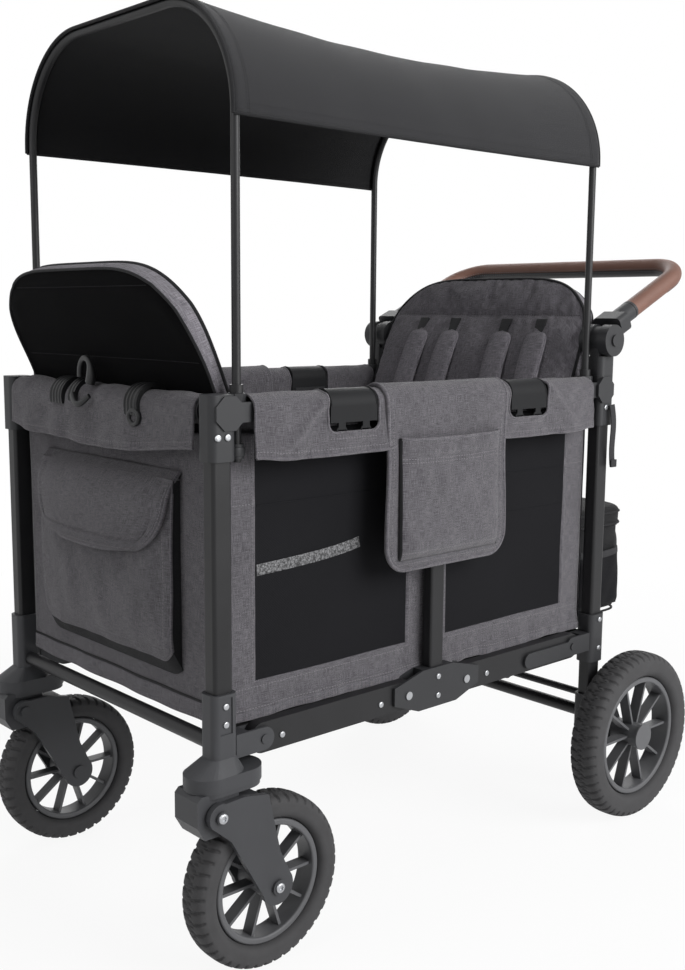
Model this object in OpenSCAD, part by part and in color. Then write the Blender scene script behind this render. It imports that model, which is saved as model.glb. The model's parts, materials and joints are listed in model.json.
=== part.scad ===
// Folding stroller wagon: a fabric tub on a folding tube frame, with two facing seats, a canopy
// on two hoops, a push handle, fixed rear wheels and sprung swivel casters.
// Millimetres. X runs from the casters to the handle, Y across the wagon, Z up from the ground.

/* [Frame] */
// Half the distance between the front and rear legs
leg_x = 378; // [370:1:390]
// Half the distance between the left and right legs
leg_y = 250; // [244:1:262]
// Leg tube width along the wagon
leg_w = 28; // [26:0.5:30]
// Leg tube width across the wagon
leg_d = 23; // [21:0.5:24]
// Leg tube wall
leg_wall = 1.6; // [1.2:0.1:2.4]
// Height of the top rails' centre line
top_rail_z = 717; // [705:1:730]
// Height of the lower rails' centre line
low_rail_z = 305; // [302:0.5:312]
// Radius of the end rails and cross tubes
cross_tube_r = 10; // [8:0.5:11]
// Wall of the moulded brackets
bracket_wall = 4.5; // [4:0.1:5]

/* [Fold linkage] */
// Distance from a leg's axis to the rail pivots beside it
pivot_inset = 62; // [60:0.5:66]
// Distance from the centre post's axis to its rail pivots
center_pin_x = 60; // [57:0.5:66]
// Height of a top rail
rail_h = 28; // [24:0.5:29]
// Thickness of a top rail
rail_t = 18; // [16:0.5:19]
// Height of a lower rail
low_rail_h = 40; // [36:0.5:41]
// Thickness of a lower rail
low_rail_t = 16; // [14:0.5:18]
// Width of a centre post along the wagon
post_w = 27; // [24:0.5:30]
// Thickness of a centre post across the wagon
post_t = 18; // [16:0.5:20]
// Radius of the hinge pins
pin_r = 4; // [3:0.25:5]
// Thickness of the floor boards
floor_t = 8; // [6:0.5:10]

/* [Front casters] */
// Radius of a front wheel
front_wheel_r = 114; // [112:0.5:117]
// Width of a front tyre
front_wheel_w = 45; // [40:0.5:47]
// Distance from the suspension pivot back to the axle
fork_run = 88; // [84:0.5:94]
// Drop from the suspension pivot to the axle
fork_drop = 118; // [117:0.5:122]
// Distance from the swivel axis forward to the suspension pivot
pivot_lead = 22; // [20:0.5:25]
// Radius of the wheel axles
axle_r = 6; // [5:0.25:7]
// Radius of the swivel stems
stem_r = 8; // [7:0.25:9]
// Thickness of a fork's side plate
fork_plate_t = 8; // [6:0.5:9]

/* [Rear wheels] */
// Radius of a rear wheel
rear_wheel_r = 139; // [135:0.5:144]
// Width of a rear tyre
rear_wheel_w = 50; // [44:0.5:53]
// Distance from a rear leg's axis back to the axle
rear_axle_back = 62; // [58:0.5:68]
// Number of spokes in a rim
spoke_count = 10; // [8:1:12]
// Thickness of a spoke
spoke_t = 4; // [3:0.25:5]

/* [Handle] */
// Height of the handle's pivot above the top rails
hub_rise = 78; // [76:0.5:84]
// Reach of the handle from its pivot to the crossbar
handle_reach = 265; // [250:1:280]
// Slope of the handle at rest, in degrees
handle_tilt = 25; // [20:1:30]
// Radius of the handle tube
handle_tube_r = 12; // [10:0.25:12.5]
// Radius of the leather grip
grip_r = 15; // [14:0.25:17]
// Radius of the handle's bends
handle_bend_r = 60; // [50:1:75]
// Radius of a release button
button_r = 9; // [7:0.25:11]

/* [Canopy] */
// Distance from a leg's axis to the canopy pole beside it
pole_inset = 33; // [32:0.25:34]
// Distance that the poles stand inside the legs' axes, across the wagon
pole_inset_y = 5; // [4:0.25:6]
// Radius of the canopy poles
pole_r = 5.5; // [5:0.1:6]
// Height of the canopy's side edges
canopy_edge_z = 1062; // [1045:1:1080]
// Radius of the hoops' bends
hoop_bend_r = 140; // [120:1:160]
// Sag of the canopy between the hoops
canopy_sag = 18; // [8:1:26]
// Thickness of the canopy
canopy_t = 2.5; // [2:0.25:4]

/* [Seats] */
// Distance from the legs' axes to a seat back's hinge
seat_pivot_inset = 79; // [77:1:84]
// Drop from the top rails' centre lines to a seat back's hinge
seat_pivot_drop = 137; // [131:1:143]
// Outward lean of a seat back, in degrees
seat_lean = 18.5; // [16:0.5:19.5]
// Length of a seat back from its hinge to its top
seat_back_h = 340; // [322:1:346]
// Thickness of a seat back
seat_back_t = 36; // [30:0.5:38]
// Depth of a seat base
seat_depth = 158; // [140:1:165]
// Thickness of a seat base's cushion
seat_cushion_t = 26; // [20:0.5:28]

/* [Fabric] */
// Drop of the sleeves' outer hem below the top rails' centre line
hem_drop = 60; // [50:1:66]
// Thickness of the tub's fabric panels
panel_t = 4; // [3:0.25:4.5]
// Thickness of the rail sleeves
sleeve_t = 3; // [2:0.25:3.5]
// Width of the front pocket
pocket_w = 326; // [300:1:350]
// Height of the front pocket
pocket_h = 262; // [240:1:270]
// Depth of the front pocket
pocket_d = 26; // [20:0.5:32]
// Width of the saddle bag
saddle_w = 240; // [220:1:250]
// Drop of the saddle bag below the top rails' centre line
saddle_drop = 227; // [200:1:240]
// Thickness of the saddle bag's pocket
saddle_pocket_t = 12; // [8:0.5:16]
// Width of the rear bag
rear_bag_w = 410; // [370:1:420]
// Depth of the rear bag
rear_bag_d = 160; // [140:1:170]
// Height of the rear bag
rear_bag_h = 192; // [170:1:200]

/* [Hidden] */
$fn = 48;

// Clearances
run_gap = 0.05;
seat_gap = 0.2;
soft_gap = 0.5;
ear_gap = 0.3;
over = 1;

// Rail pivots and pins
pivot_x = leg_x - pivot_inset;
pin_head_over = 2;
pin_head_r = pin_r + pin_head_over;
pin_head_h = 2;
ear_t = 4;
top_ear_r = 12;
low_ear_r = 15;
rail_end_gap = 4;
rail_skin = 2;
rail_solid_end = 30;

// Corner brackets and pole loops
leg_round = 5;
collar_round = leg_round + bracket_wall;
collar_w = leg_w + 2 * bracket_wall;
collar_d = leg_d + 2 * bracket_wall;
corner_rise = 22;
corner_h = 79;
corner_top = top_rail_z + corner_rise;
corner_bottom = corner_top - corner_h;
corner_cap = 4;
pole_x = leg_x - pole_inset;
pole_y = leg_y - pole_inset_y;
loop_wall = 6.5;
loop_r = pole_r + loop_wall;
loop_h = 36;
ring_h = 18;
ring_wall = 3.2;
ring_r = pole_r + ring_wall;
octagon_r = 22;
octagon_proud = 2.5;
octagon_lead = 26;

// Legs and lower brackets
front_leg_top = corner_top - corner_cap - seat_gap;
pivot_z = front_wheel_r + fork_drop;
head_rise = 28;
skirt_z = pivot_z + head_rise + ear_gap;
skirt_h = 18;
skirt_r = 30;
skirt_front = 18;
skirt_back = 28;
shoulder_h = 34;
stem_l = 34;
stem_top = skirt_z + stem_l;
front_leg_bottom = stem_top + bracket_wall;
front_bracket_rise = 71;
front_bracket_top = low_rail_z + front_bracket_rise;
recess_w = 18;
recess_h = 46;
recess_d = 1.6;
recess_drop = 50;
rear_bracket_rise = 44;
rear_bracket_top = low_rail_z + rear_bracket_rise;
rear_bracket_drop = 36;
rear_bracket_bottom = low_rail_z - rear_bracket_drop;
lock_arm_l = 108;
lock_arm_r = 12;
rear_leg_rise = 12;
rear_leg_bottom = rear_wheel_r + rear_leg_rise;
housing_floor = 5;
housing_h = 62;
housing_top = rear_leg_bottom + housing_h;
axle_boss_r = 20;
axle_head_over = 4;
axle_head_r = axle_r + axle_head_over;
axle_head_h = 4;
brake_back = 42;
brake_rise = 53;
brake_shaft_r = 6;
brake_boss_r = 14;
brake_seat = 9;
brake_z = rear_wheel_r + brake_rise;
pedal_w = 90;
pedal_l = 58;
pedal_t = 9;
pedal_round = 8;
rear_tube_rise = 27;
rear_tube_z = rear_leg_bottom + rear_tube_rise;
front_tube_rise = 3;
front_tube_z = low_rail_z + front_tube_rise;
cross_half = leg_y - collar_d / 2 - seat_gap;
cross_wall = 2;

// Centre hinge
block_r = 16;
block_web_x = 40;
plate_half_l = 87;
plate_half_h = 30;
plate_web_x = 30;
plate_t = 4;
plate_shares = [[-1, -0.35], [-0.45, -0.93], [0.45, -0.93], [1, -0.35], [1, 0.5], [0.35, 1], [-0.35, 1],
  [-1, 0.5]];
post_bottom = low_rail_z + plate_half_h + seat_gap;
post_top = top_rail_z - block_r - seat_gap;
post_round = 4;
post_wall = 1.6;

// Seat hangers
hanger_x = 176;
hanger_l = 81;
hanger_r = 21;
hanger_drop = 20;
hanger_tab_w = 12;
hanger_tab_h = 9;
hanger_tab_t = 3;
hanger_tab_x = 21;

// Rail sleeves, drawn about the rail's centre line
sleeve_rise = 1.5;
sleeve_in_r = 17.5;
sleeve_out_r = sleeve_in_r + sleeve_t;
end_rail_r = sleeve_in_r - soft_gap;
sleeve_inner_drop = 27;
sleeve_end_over = 13.5;
sleeve_outer_x = pivot_x + sleeve_end_over;
sleeve_block_gap = 2;
sleeve_inner_x = center_pin_x + block_r + sleeve_block_gap;
sleeve_window_drop = 29;
end_sleeve_half = leg_y - collar_d / 2 - soft_gap;

// Tub panels
panel_inset_y = 16.5;
panel_y = leg_y - panel_inset_y;
panel_inset_x = 8;
panel_x = leg_x - panel_inset_x;
panel_top_drop = 28;
panel_top = top_rail_z - panel_top_drop;
panel_foot_rise = 20.5;
panel_bottom = low_rail_z + panel_foot_rise;
panel_recess = 1.2;
window_side = 48;
window_post = 40;
window_foot = 46;
panel_post_gap = 3;
floor_half_y = leg_y - low_rail_t / 2 - plate_t - pin_head_h - 3 * ear_gap;
floor_inner_x = 4;
floor_end_over = 12;
floor_outer_x = pivot_x + floor_end_over;
floor_rise = 4;
floor_z = low_rail_z + floor_rise;
floor_lug_x0 = 110;
floor_lug_gap = 6;
floor_lug_x1 = pivot_x - rail_solid_end - floor_lug_gap;
floor_lug_half = leg_y + low_rail_t / 2 - rail_skin - ear_gap;

// Pockets and bags
pocket_round = 22;
pocket_drop = 82;
pocket_top_z = top_rail_z - pocket_drop;
flap_h = 96;
flap_t = 5;
flap_round = 38;
saddle_t = 4;
saddle_inner_drop = 67;
saddle_round = 28;
saddle_pocket_side = 20;
saddle_pocket_top = 46;
saddle_pocket_foot = 14;
saddle_pocket_round = 16;
saddle_in_r = sleeve_out_r + soft_gap;
saddle_out_r = saddle_in_r + saddle_t;
rear_bag_rise = 207;
rear_bag_top = low_rail_z + rear_bag_rise;
rear_bag_round = 26;
rear_lid_h = 22;
rear_lid_over = 4;

// Seats
seat_pivot_x = leg_x - seat_pivot_inset;
seat_pivot_z = top_rail_z - seat_pivot_drop;
seat_side_inset = 26;
seat_half = leg_y - seat_side_inset;
seat_rod_r = 4;
seat_board_t = 4;
seat_edge_share = 0.34;
seat_arch_share = 0.16;
seat_arch_power = 4.5;
seat_taper_share = 0.05;
seat_rear_from_share = 0.62;
seat_rear_run_share = 0.25;
seat_rear_swell_share = 0.5;
seat_channel_share = 0.8;
seat_channel_width_share = 0.035;
seat_channel_d = 5;
seat_back_u = 16;
seat_back_v = 14;
base_u = 10;
base_v = 14;
cushion_gap = 0.3;
base_rear_x = seat_pivot_x - seat_rod_r - cushion_gap;
base_drop = 14;
base_top_z = seat_pivot_z - base_drop;
base_board_z = base_top_z - seat_cushion_t - seat_board_t - cushion_gap;
sling_t = 3;
sling_half = leg_y - hanger_r - soft_gap;
sling_l = 72;
sling_drop = 14;
sling_top = top_rail_z - sling_drop;
seat_ear_r = 8;
seat_ear_t = 3.5;
seat_ear_l = 40;

// Canopy and hoops
pole_below = 4;
pole_bottom = corner_bottom - pole_below;
stop_over = 3;
stop_r = pole_r + stop_over;
stop_h = 10;
hoop_edge_rise = 6;
hoop_bend_z = canopy_edge_z + hoop_edge_rise;
hoop_top_z = hoop_bend_z + hoop_bend_r;
canopy_over = 8;
canopy_bend_n = 8;
canopy_u = 12;
canopy_side_pull = 8;

// Wheels and casters
tyre_wall = 32;
tyre_round = 14;
rear_tyre_wall = 40;
rear_tyre_round = 16;
rim_ring_t = 9;
rim_ring_share = 0.72;
rim_hub_r = 20;
spoke_depth = 18;
tyre_fit = 0.1;
fork_gap = 3.5;
fork_in = front_wheel_w / 2 + fork_gap;
fork_out = fork_in + fork_plate_t;
fork_lug_r = 17;
fork_axle_r = 24;
fork_pin_r = 5;
fork_head_r = 8;
fork_head_h = 3.5;
fork_shares = [[-0.05, 0.13], [0.41, 0.14], [0.83, 0.08], [1.04, -0.6], [1.27, -0.97], [0.74, -1.05],
  [0.17, -0.3], [-0.17, -0.08]];
bridge_x0 = 40;
bridge_x1 = 66;
bridge_z0 = 1.5;
bridge_h = 8;
head_side_gap = 2;
head_half = fork_in - head_side_gap;
head_front = 28;
head_back = 34;
head_drop = 28;
head_shares = [[-1, 0.8], [-1, -0.35], [-0.62, -1], [0.1, -1], [1, -0.5], [1, 1], [-0.8, 1]];
flange_h = 6;
flange_r = 28;
wheel_clear = 8;
pivot_px = leg_x + pivot_lead;
front_axle_x = pivot_px - fork_run;
hub_clear = 0.5;
rear_wheel_gap = 3.5;
rear_wheel_y = leg_y + collar_d / 2 + rear_wheel_gap + rear_wheel_w / 2;
rear_hub_in = 1.5;
hub_cap_r = 22;
hub_cap_h = 3;
axle_end_gap = 5;

// Handle
hub_z = top_rail_z + hub_rise;
tongue_half = 8;
tongue_r = 22;
neck_half = 18;
cheek_r = 25;
socket_cap = 9;
cheek_t = 17.6;
cheek_out = tongue_half + ear_gap + cheek_t;
hub_block_x0 = tongue_r + over;
hub_block_l = 26;
handle_offset = 12;
neck_r = 15.5;
neck_l = 34;
tube_inset = 22;
tube_start = hub_block_x0 + tube_inset;
grip_start = hub_block_x0 + hub_block_l + neck_l + over;
hub_pin_r = 6;
hub_pin_half = 16;
button_proud = 3;
button_l = 9;
button_pocket = 9.3;
button_fit = 0.3;
socket_bottom = corner_top + seat_gap;
socket_top = hub_z - cheek_r - ear_gap;
rear_leg_top = hub_z - cheek_r - socket_cap;

// The whole wagon is moved along X so that its box is centred over the origin
crossbar_x = leg_x + handle_reach * cos(handle_tilt) - handle_offset * sin(handle_tilt);
x_shift = (pivot_px + head_front - crossbar_x - grip_r) / 2;

frame_black = "#2b2b2d";
plastic_grey = "#343638";
cloth_grey = "#55545a";
cloth_black = "#1d1d20";
mesh_black = "#222226";
steel = "#8d9094";
leather_brown = "#6a4a3e";
tyre_black = "#2c2c2e";
rim_grey = "#3a3b3e";

module place() {
  translate([x_shift, 0, 0]) children();
}

module both_sides() {
  children();
  mirror([0, 1, 0]) children();
}

module to_rear() {
  mirror([1, 0, 0]) children();
}

// Rounded rectangle made of squares and circles
module rounded(w, h, r) {
  square([w - 2 * r, h], center = true);
  square([w, h - 2 * r], center = true);
  for (sx = [-1, 1]) for (sy = [-1, 1]) translate([sx * (w / 2 - r), sy * (h / 2 - r)]) circle(r);
}

// Bar with round ends, from x0 to x1 between the end centres
module stadium(x0, x1, r) {
  translate([x0, 0]) circle(r);
  translate([x1, 0]) circle(r);
  translate([x0, -r]) square([x1 - x0, 2 * r]);
}

// An outline in X and Z, given a thickness across the wagon
module across(t) {
  rotate([90, 0, 0]) linear_extrude(t, center = true) children();
}

// An outline in Y and Z, carried along the wagon
module along(x0, x1) {
  translate([x0, 0, 0]) rotate([90, 0, 90]) linear_extrude(x1 - x0) children();
}

// Round bar along Y
module bar_across(r, y0, y1) {
  translate([0, y0, 0]) rotate([-90, 0, 0]) cylinder(r = r, h = y1 - y0);
}

// Tube along Y between the legs' collars
module tube_across(r) {
  difference() {
    bar_across(r, -cross_half, cross_half);
    bar_across(r - cross_wall, -cross_half - over, cross_half + over);
  }
}

// Closed solid between an upper and a lower grid of points
module grid_solid(upper, lower) {
  nu = len(upper);
  nv = len(upper[0]);
  n = nu * nv;
  points = concat([for (row = upper) each row], [for (row = lower) each row]);
  faces = concat(
    [for (i = [0:nu - 2]) for (j = [0:nv - 2]) let (a = i * nv + j, b = a + nv)
      each [[a, a + 1, b + 1], [a, b + 1, b], [n + a, n + b + 1, n + a + 1], [n + a, n + b, n + b + 1]]],
    [for (i = [0:nu - 2]) let (a = i * nv, b = a + nv, c = a + nv - 1, d = b + nv - 1)
      each [[a, b, n + b], [a, n + b, n + a], [d, c, n + c], [d, n + c, n + d]]],
    [for (j = [0:nv - 2]) let (a = j, c = j + 1, b = (nu - 1) * nv + j, d = b + 1)
      each [[c, a, n + a], [c, n + a, n + c], [b, d, n + d], [b, n + d, n + b]]]);
  polyhedron(points, faces);
}

// Two ears with a headed pin, reaching from the pivot towards the leg
module clevis(inner_t, r, reach, clear) {
  gap = inner_t / 2 + ear_gap;
  out = gap + ear_t;
  for (s = [-1, 1]) translate([0, s * (gap + ear_t / 2), 0]) across(ear_t) {
    circle(r);
    translate([-reach, -r]) square([reach, 2 * r]);
  }
  translate([-reach, -out, -r]) cube([reach - clear, 2 * out, 2 * r]);
  bar_across(pin_r, -out, out);
  bar_across(pin_head_r, -out - pin_head_h, -out);
  bar_across(pin_head_r, out, out + pin_head_h);
}

// Legs

module leg(z0, z1) {
  translate([0, 0, z0]) linear_extrude(z1 - z0) difference() {
    rounded(leg_w, leg_d, leg_round);
    rounded(leg_w - 2 * leg_wall, leg_d - 2 * leg_wall, leg_round - leg_wall);
  }
}

module leg_pocket(z0, z1) {
  translate([0, 0, z0]) linear_extrude(z1 - z0)
    rounded(leg_w + 2 * seat_gap, leg_d + 2 * seat_gap, leg_round + seat_gap);
}

module collar(z0, z1) {
  translate([0, 0, z0]) linear_extrude(z1 - z0) rounded(collar_w, collar_d, collar_round);
}

module front_legs() {
  color(frame_black) place() both_sides() translate([-leg_x, -leg_y, 0])
    leg(front_leg_bottom, front_leg_top);
}

module rear_legs() {
  color(frame_black) place() both_sides() translate([leg_x, -leg_y, 0])
    leg(rear_leg_bottom, rear_leg_top);
}

// Upper corner brackets: a collar on the leg with an octagonal boss outside, the rail's clevis, a pole
// loop and a lower ring

module corner_bracket(pocket_top) {
  difference() {
    union() {
      translate([-leg_x, -leg_y, 0]) collar(corner_bottom, corner_top);
      translate([-pivot_x, -leg_y, top_rail_z])
        clevis(rail_t, top_ear_r, pivot_inset - collar_w / 2 + over, rail_h / 2 + rail_end_gap + over);
      translate([-pole_x, -pole_y, corner_top - loop_h]) cylinder(r = loop_r, h = loop_h, $fn = 8);
      translate([-pole_x, -pole_y, corner_bottom]) cylinder(r = ring_r, h = ring_h);
      translate([-leg_x, -pole_y - ring_r / 2, corner_bottom]) cube([pole_inset, ring_r, ring_h]);
      translate([-pole_x - octagon_lead, -leg_y - collar_d / 2 - octagon_proud, top_rail_z])
        rotate([-90, 0, 0]) rotate(180 / 8)
          cylinder(r = octagon_r, h = octagon_proud + bracket_wall, $fn = 8);
    }
    translate([-leg_x, -leg_y, 0]) leg_pocket(corner_bottom - over, pocket_top);
    translate([-pole_x, -pole_y, corner_bottom - over])
      cylinder(r = pole_r + run_gap, h = corner_h + 2 * over);
  }
}

module front_corner_brackets() {
  color(plastic_grey) place() both_sides() corner_bracket(front_leg_top + seat_gap);
}

module rear_corner_brackets() {
  color(plastic_grey) place() both_sides() to_rear() corner_bracket(corner_top + over);
}

// Lower brackets

module front_lower_bracket() {
  difference() {
    union() {
      translate([-leg_x, -leg_y, skirt_z]) linear_extrude(skirt_h)
        stadium(-skirt_front, skirt_back, skirt_r);
      translate([-leg_x, -leg_y, 0]) collar(skirt_z + skirt_h - over, front_bracket_top);
      hull() {
        translate([-leg_x, -leg_y, skirt_z + skirt_h - over])
          linear_extrude(over) stadium(-skirt_front, 0, skirt_r, $fn = 32);
        translate([-leg_x, -leg_y, skirt_z + shoulder_h])
          linear_extrude(over) rounded(collar_w, collar_d, collar_round, $fn = 32);
      }
      translate([-pivot_x, -leg_y, low_rail_z])
        clevis(low_rail_t, low_ear_r, pivot_inset - collar_w / 2 + over, low_rail_h / 2 + rail_end_gap);
    }
    translate([-leg_x, -leg_y, 0]) leg_pocket(front_leg_bottom - seat_gap, front_bracket_top + over);
    translate([-leg_x, -leg_y, skirt_z - over]) cylinder(r = stem_r + run_gap, h = stem_l + 2 * over);
    translate([-leg_x - recess_w / 2, -leg_y - collar_d / 2 - over, front_bracket_top - recess_drop])
      cube([recess_w, recess_d + over, recess_h]);
  }
}

module front_lower_brackets() {
  color(plastic_grey) place() both_sides() front_lower_bracket();
}

module rear_lower_bracket() {
  arm_y = -leg_y - low_rail_t / 2 - ear_gap - ear_t / 2;
  difference() {
    union() {
      translate([-leg_x, -leg_y, 0]) collar(rear_bracket_bottom, rear_bracket_top);
      translate([-pivot_x, -leg_y, low_rail_z])
        clevis(low_rail_t, low_ear_r, pivot_inset - collar_w / 2 + over, low_rail_h / 2 + rail_end_gap);
      translate([-pivot_x, arm_y, low_rail_z + lock_arm_r - low_ear_r])
        across(ear_t) stadium(0, lock_arm_l, lock_arm_r);
    }
    translate([-leg_x, -leg_y, 0]) leg_pocket(rear_bracket_bottom - over, rear_bracket_top + over);
  }
}

module rear_lower_brackets() {
  color(plastic_grey) place() both_sides() to_rear() rear_lower_bracket();
}

// End rails and cross tubes

module front_cross_tubes() {
  color(frame_black) place() translate([-leg_x, 0, 0]) {
    translate([0, 0, top_rail_z + sleeve_rise]) tube_across(end_rail_r);
    translate([0, 0, front_tube_z]) tube_across(cross_tube_r);
  }
}

module rear_cross_tubes() {
  color(frame_black) place() translate([leg_x, 0, 0]) {
    translate([0, 0, top_rail_z + sleeve_rise]) tube_across(end_rail_r);
    for (z = [low_rail_z, rear_tube_z]) translate([0, 0, z]) tube_across(cross_tube_r);
  }
}

// Rear axle housings, stub axles and the brake

module rear_axle_housing() {
  difference() {
    union() {
      translate([leg_x, -leg_y, 0]) collar(rear_leg_bottom - housing_floor, housing_top);
      translate([leg_x, -leg_y, 0]) across(collar_d) {
        translate([rear_axle_back, rear_wheel_r]) circle(axle_boss_r);
        translate([brake_back, brake_z]) circle(brake_boss_r);
        polygon([[0, rear_leg_bottom - housing_floor], [rear_axle_back, rear_wheel_r - axle_boss_r],
          [rear_axle_back + axle_boss_r, rear_wheel_r], [brake_back + brake_boss_r, brake_z],
          [brake_back, brake_z + brake_boss_r], [0, housing_top]]);
      }
    }
    translate([leg_x, -leg_y, 0]) leg_pocket(rear_leg_bottom - seat_gap, housing_top + over);
    translate([leg_x + rear_axle_back, -leg_y, rear_wheel_r])
      bar_across(axle_r + run_gap, -collar_d, collar_d);
    translate([leg_x + brake_back, -leg_y, brake_z])
      bar_across(brake_shaft_r + run_gap, collar_d / 2 - brake_seat, collar_d);
  }
}

module rear_axle_housings() {
  color(plastic_grey) place() both_sides() rear_axle_housing();
}

module rear_axles() {
  color(steel) place() both_sides() translate([leg_x + rear_axle_back, 0, rear_wheel_r]) {
    bar_across(axle_r, -rear_wheel_y - rear_wheel_w / 2 + axle_end_gap, -leg_y + collar_d / 2 + over);
    bar_across(axle_head_r, -leg_y + collar_d / 2 + seat_gap, -leg_y + collar_d / 2 + axle_head_h);
  }
}

module brake_pedal() {
  shaft_half = leg_y - collar_d / 2 + brake_seat - seat_gap;
  color(plastic_grey) place() translate([leg_x + brake_back, 0, brake_z]) {
    bar_across(brake_shaft_r, -shaft_half, shaft_half);
    bar_across(brake_boss_r, -pedal_w / 2, pedal_w / 2);
    translate([pedal_l / 2, 0, -pedal_t / 2])
      linear_extrude(pedal_t) rounded(pedal_l, pedal_w, pedal_round);
  }
}

// Side rails: round-ended channels, open to the inside between their solid ends

module side_rail(z, h, t) {
  translate([0, -leg_y, z]) difference() {
    across(t) stadium(-pivot_x, -center_pin_x, h / 2);
    for (x = [-pivot_x, -center_pin_x]) translate([x, 0, 0]) bar_across(pin_r + run_gap, -t, t);
    translate([-pivot_x + rail_solid_end, -t / 2 + rail_skin, -h / 2 + rail_skin])
      cube([pivot_x - center_pin_x - 2 * rail_solid_end, t, h - 2 * rail_skin]);
  }
}

module front_top_rails() {
  color(frame_black) place() both_sides() side_rail(top_rail_z, rail_h, rail_t);
}

module rear_top_rails() {
  color(frame_black) place() both_sides() to_rear() side_rail(top_rail_z, rail_h, rail_t);
}

module front_lower_rails() {
  color(frame_black) place() both_sides() side_rail(low_rail_z, low_rail_h, low_rail_t);
}

module rear_lower_rails() {
  color(frame_black) place() both_sides() to_rear() side_rail(low_rail_z, low_rail_h, low_rail_t);
}

// Centre hinge: posts, top blocks, lower plates and their pins

module center_posts() {
  color(frame_black) place() both_sides() translate([0, -leg_y, post_bottom])
    linear_extrude(post_top - post_bottom) difference() {
      rounded(post_w, post_t, post_round);
      rounded(post_w - 2 * post_wall, post_t - 2 * post_wall, post_round - post_wall);
    }
}

module top_hinge_block() {
  gap = rail_t / 2 + ear_gap;
  difference() {
    union() {
      for (s = [-1, 1]) translate([0, s * (gap + plate_t / 2), 0])
        across(plate_t) stadium(-center_pin_x, center_pin_x, block_r);
      translate([-block_web_x, -gap - over, -block_r])
        cube([2 * block_web_x, 2 * (gap + over), 2 * block_r]);
    }
    for (s = [-1, 1]) translate([s * center_pin_x, 0, 0]) bar_across(pin_r + run_gap, -rail_t, rail_t);
  }
}

module top_hinge_blocks() {
  color(plastic_grey) place() both_sides() translate([0, -leg_y, top_rail_z]) top_hinge_block();
}

module lower_hinge_plate() {
  gap = low_rail_t / 2 + ear_gap;
  difference() {
    union() {
      for (s = [-1, 1]) translate([0, s * (gap + plate_t / 2), 0]) across(plate_t)
        polygon([for (p = plate_shares) [p[0] * plate_half_l, p[1] * plate_half_h]]);
      translate([-plate_web_x, -gap - over, -low_rail_h / 2])
        cube([2 * plate_web_x, 2 * (gap + over), low_rail_h / 2 + plate_half_h]);
    }
    for (s = [-1, 1]) translate([s * center_pin_x, 0, 0])
      bar_across(pin_r + run_gap, -low_rail_t, low_rail_t);
  }
}

module lower_hinge_plates() {
  color(plastic_grey) place() both_sides() translate([0, -leg_y, low_rail_z]) lower_hinge_plate();
}

module fold_pin(z, t) {
  out = t / 2 + ear_gap + plate_t;
  for (s = [-1, 1]) translate([s * center_pin_x, -leg_y, z]) {
    bar_across(pin_r, -out - over, out + over);
    bar_across(pin_head_r, -out - pin_head_h, -out - seat_gap);
    bar_across(pin_head_r, out + seat_gap, out + pin_head_h);
  }
}

module fold_pins() {
  color(steel) place() both_sides() {
    fold_pin(top_rail_z, rail_t);
    fold_pin(low_rail_z, low_rail_t);
  }
}

// Seat hangers: saddle clips that sit on the top rails and carry the seat slings

module seat_hanger() {
  translate([0, -leg_y, 0]) {
    along(-hanger_x - hanger_l / 2, -hanger_x + hanger_l / 2) translate([0, top_rail_z]) difference() {
      union() {
        translate([0, sleeve_rise]) circle(hanger_r);
        translate([-hanger_r, -hanger_drop]) square([2 * hanger_r, hanger_drop + sleeve_rise]);
      }
      translate([-rail_t / 2 - seat_gap, -rail_h])
        square([rail_t + 2 * seat_gap, rail_h * 3 / 2 + seat_gap]);
    }
    for (s = [-1, 1]) translate([-hanger_x + s * hanger_tab_x - hanger_tab_w / 2, -hanger_r,
        top_rail_z - hanger_drop - hanger_tab_h])
      cube([hanger_tab_w, hanger_tab_t, hanger_tab_h + over]);
  }
}

module front_seat_hangers() {
  color(plastic_grey) place() both_sides() seat_hanger();
}

module rear_seat_hangers() {
  color(plastic_grey) place() both_sides() to_rear() seat_hanger();
}

// Fabric sleeves over the rails: an arch over the rail with a long outer skirt

module sleeve_profile(outer_drop) {
  difference() {
    union() {
      translate([0, sleeve_rise]) circle(sleeve_out_r);
      translate([-sleeve_out_r, -outer_drop]) square([sleeve_t, outer_drop + sleeve_rise]);
      translate([sleeve_in_r, -sleeve_inner_drop]) square([sleeve_t, sleeve_inner_drop + sleeve_rise]);
    }
    translate([0, sleeve_rise]) circle(sleeve_in_r);
    translate([-sleeve_in_r, -outer_drop]) square([2 * sleeve_in_r, outer_drop + sleeve_rise]);
  }
}

module rail_sleeve() {
  difference() {
    translate([0, -leg_y, top_rail_z]) along(-sleeve_outer_x, -sleeve_inner_x) sleeve_profile(hem_drop);
    translate([-hanger_x - hanger_l / 2 - soft_gap, -leg_y - hem_drop,
        top_rail_z - sleeve_window_drop - soft_gap])
      cube([hanger_l + 2 * soft_gap, 2 * hem_drop, 2 * hem_drop]);
  }
}

module front_rail_sleeves() {
  color(cloth_grey) place() both_sides() rail_sleeve();
}

module rear_rail_sleeves() {
  color(cloth_grey) place() both_sides() to_rear() rail_sleeve();
}

module end_sleeve() {
  translate([-leg_x, 0, top_rail_z]) across(2 * end_sleeve_half) sleeve_profile(hem_drop);
}

module front_end_sleeve() {
  color(cloth_grey) place() end_sleeve();
}

module rear_end_sleeve() {
  color(cloth_grey) place() to_rear() end_sleeve();
}

// Tub panels: bound fabric with a mesh window let into each side

module side_panel() {
  x0 = leg_x - collar_w / 2 - soft_gap;
  translate([0, -panel_y, 0]) difference() {
    translate([-x0, -panel_t / 2, panel_bottom])
      cube([x0 - panel_post_gap, panel_t, panel_top - panel_bottom]);
    for (s = [-1, 1])
      translate([-x0 + window_side, s * (panel_t - panel_recess) - panel_t / 2, panel_bottom + window_foot])
        cube([x0 - window_side - window_post, panel_t, panel_top - panel_bottom]);
  }
}

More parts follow.
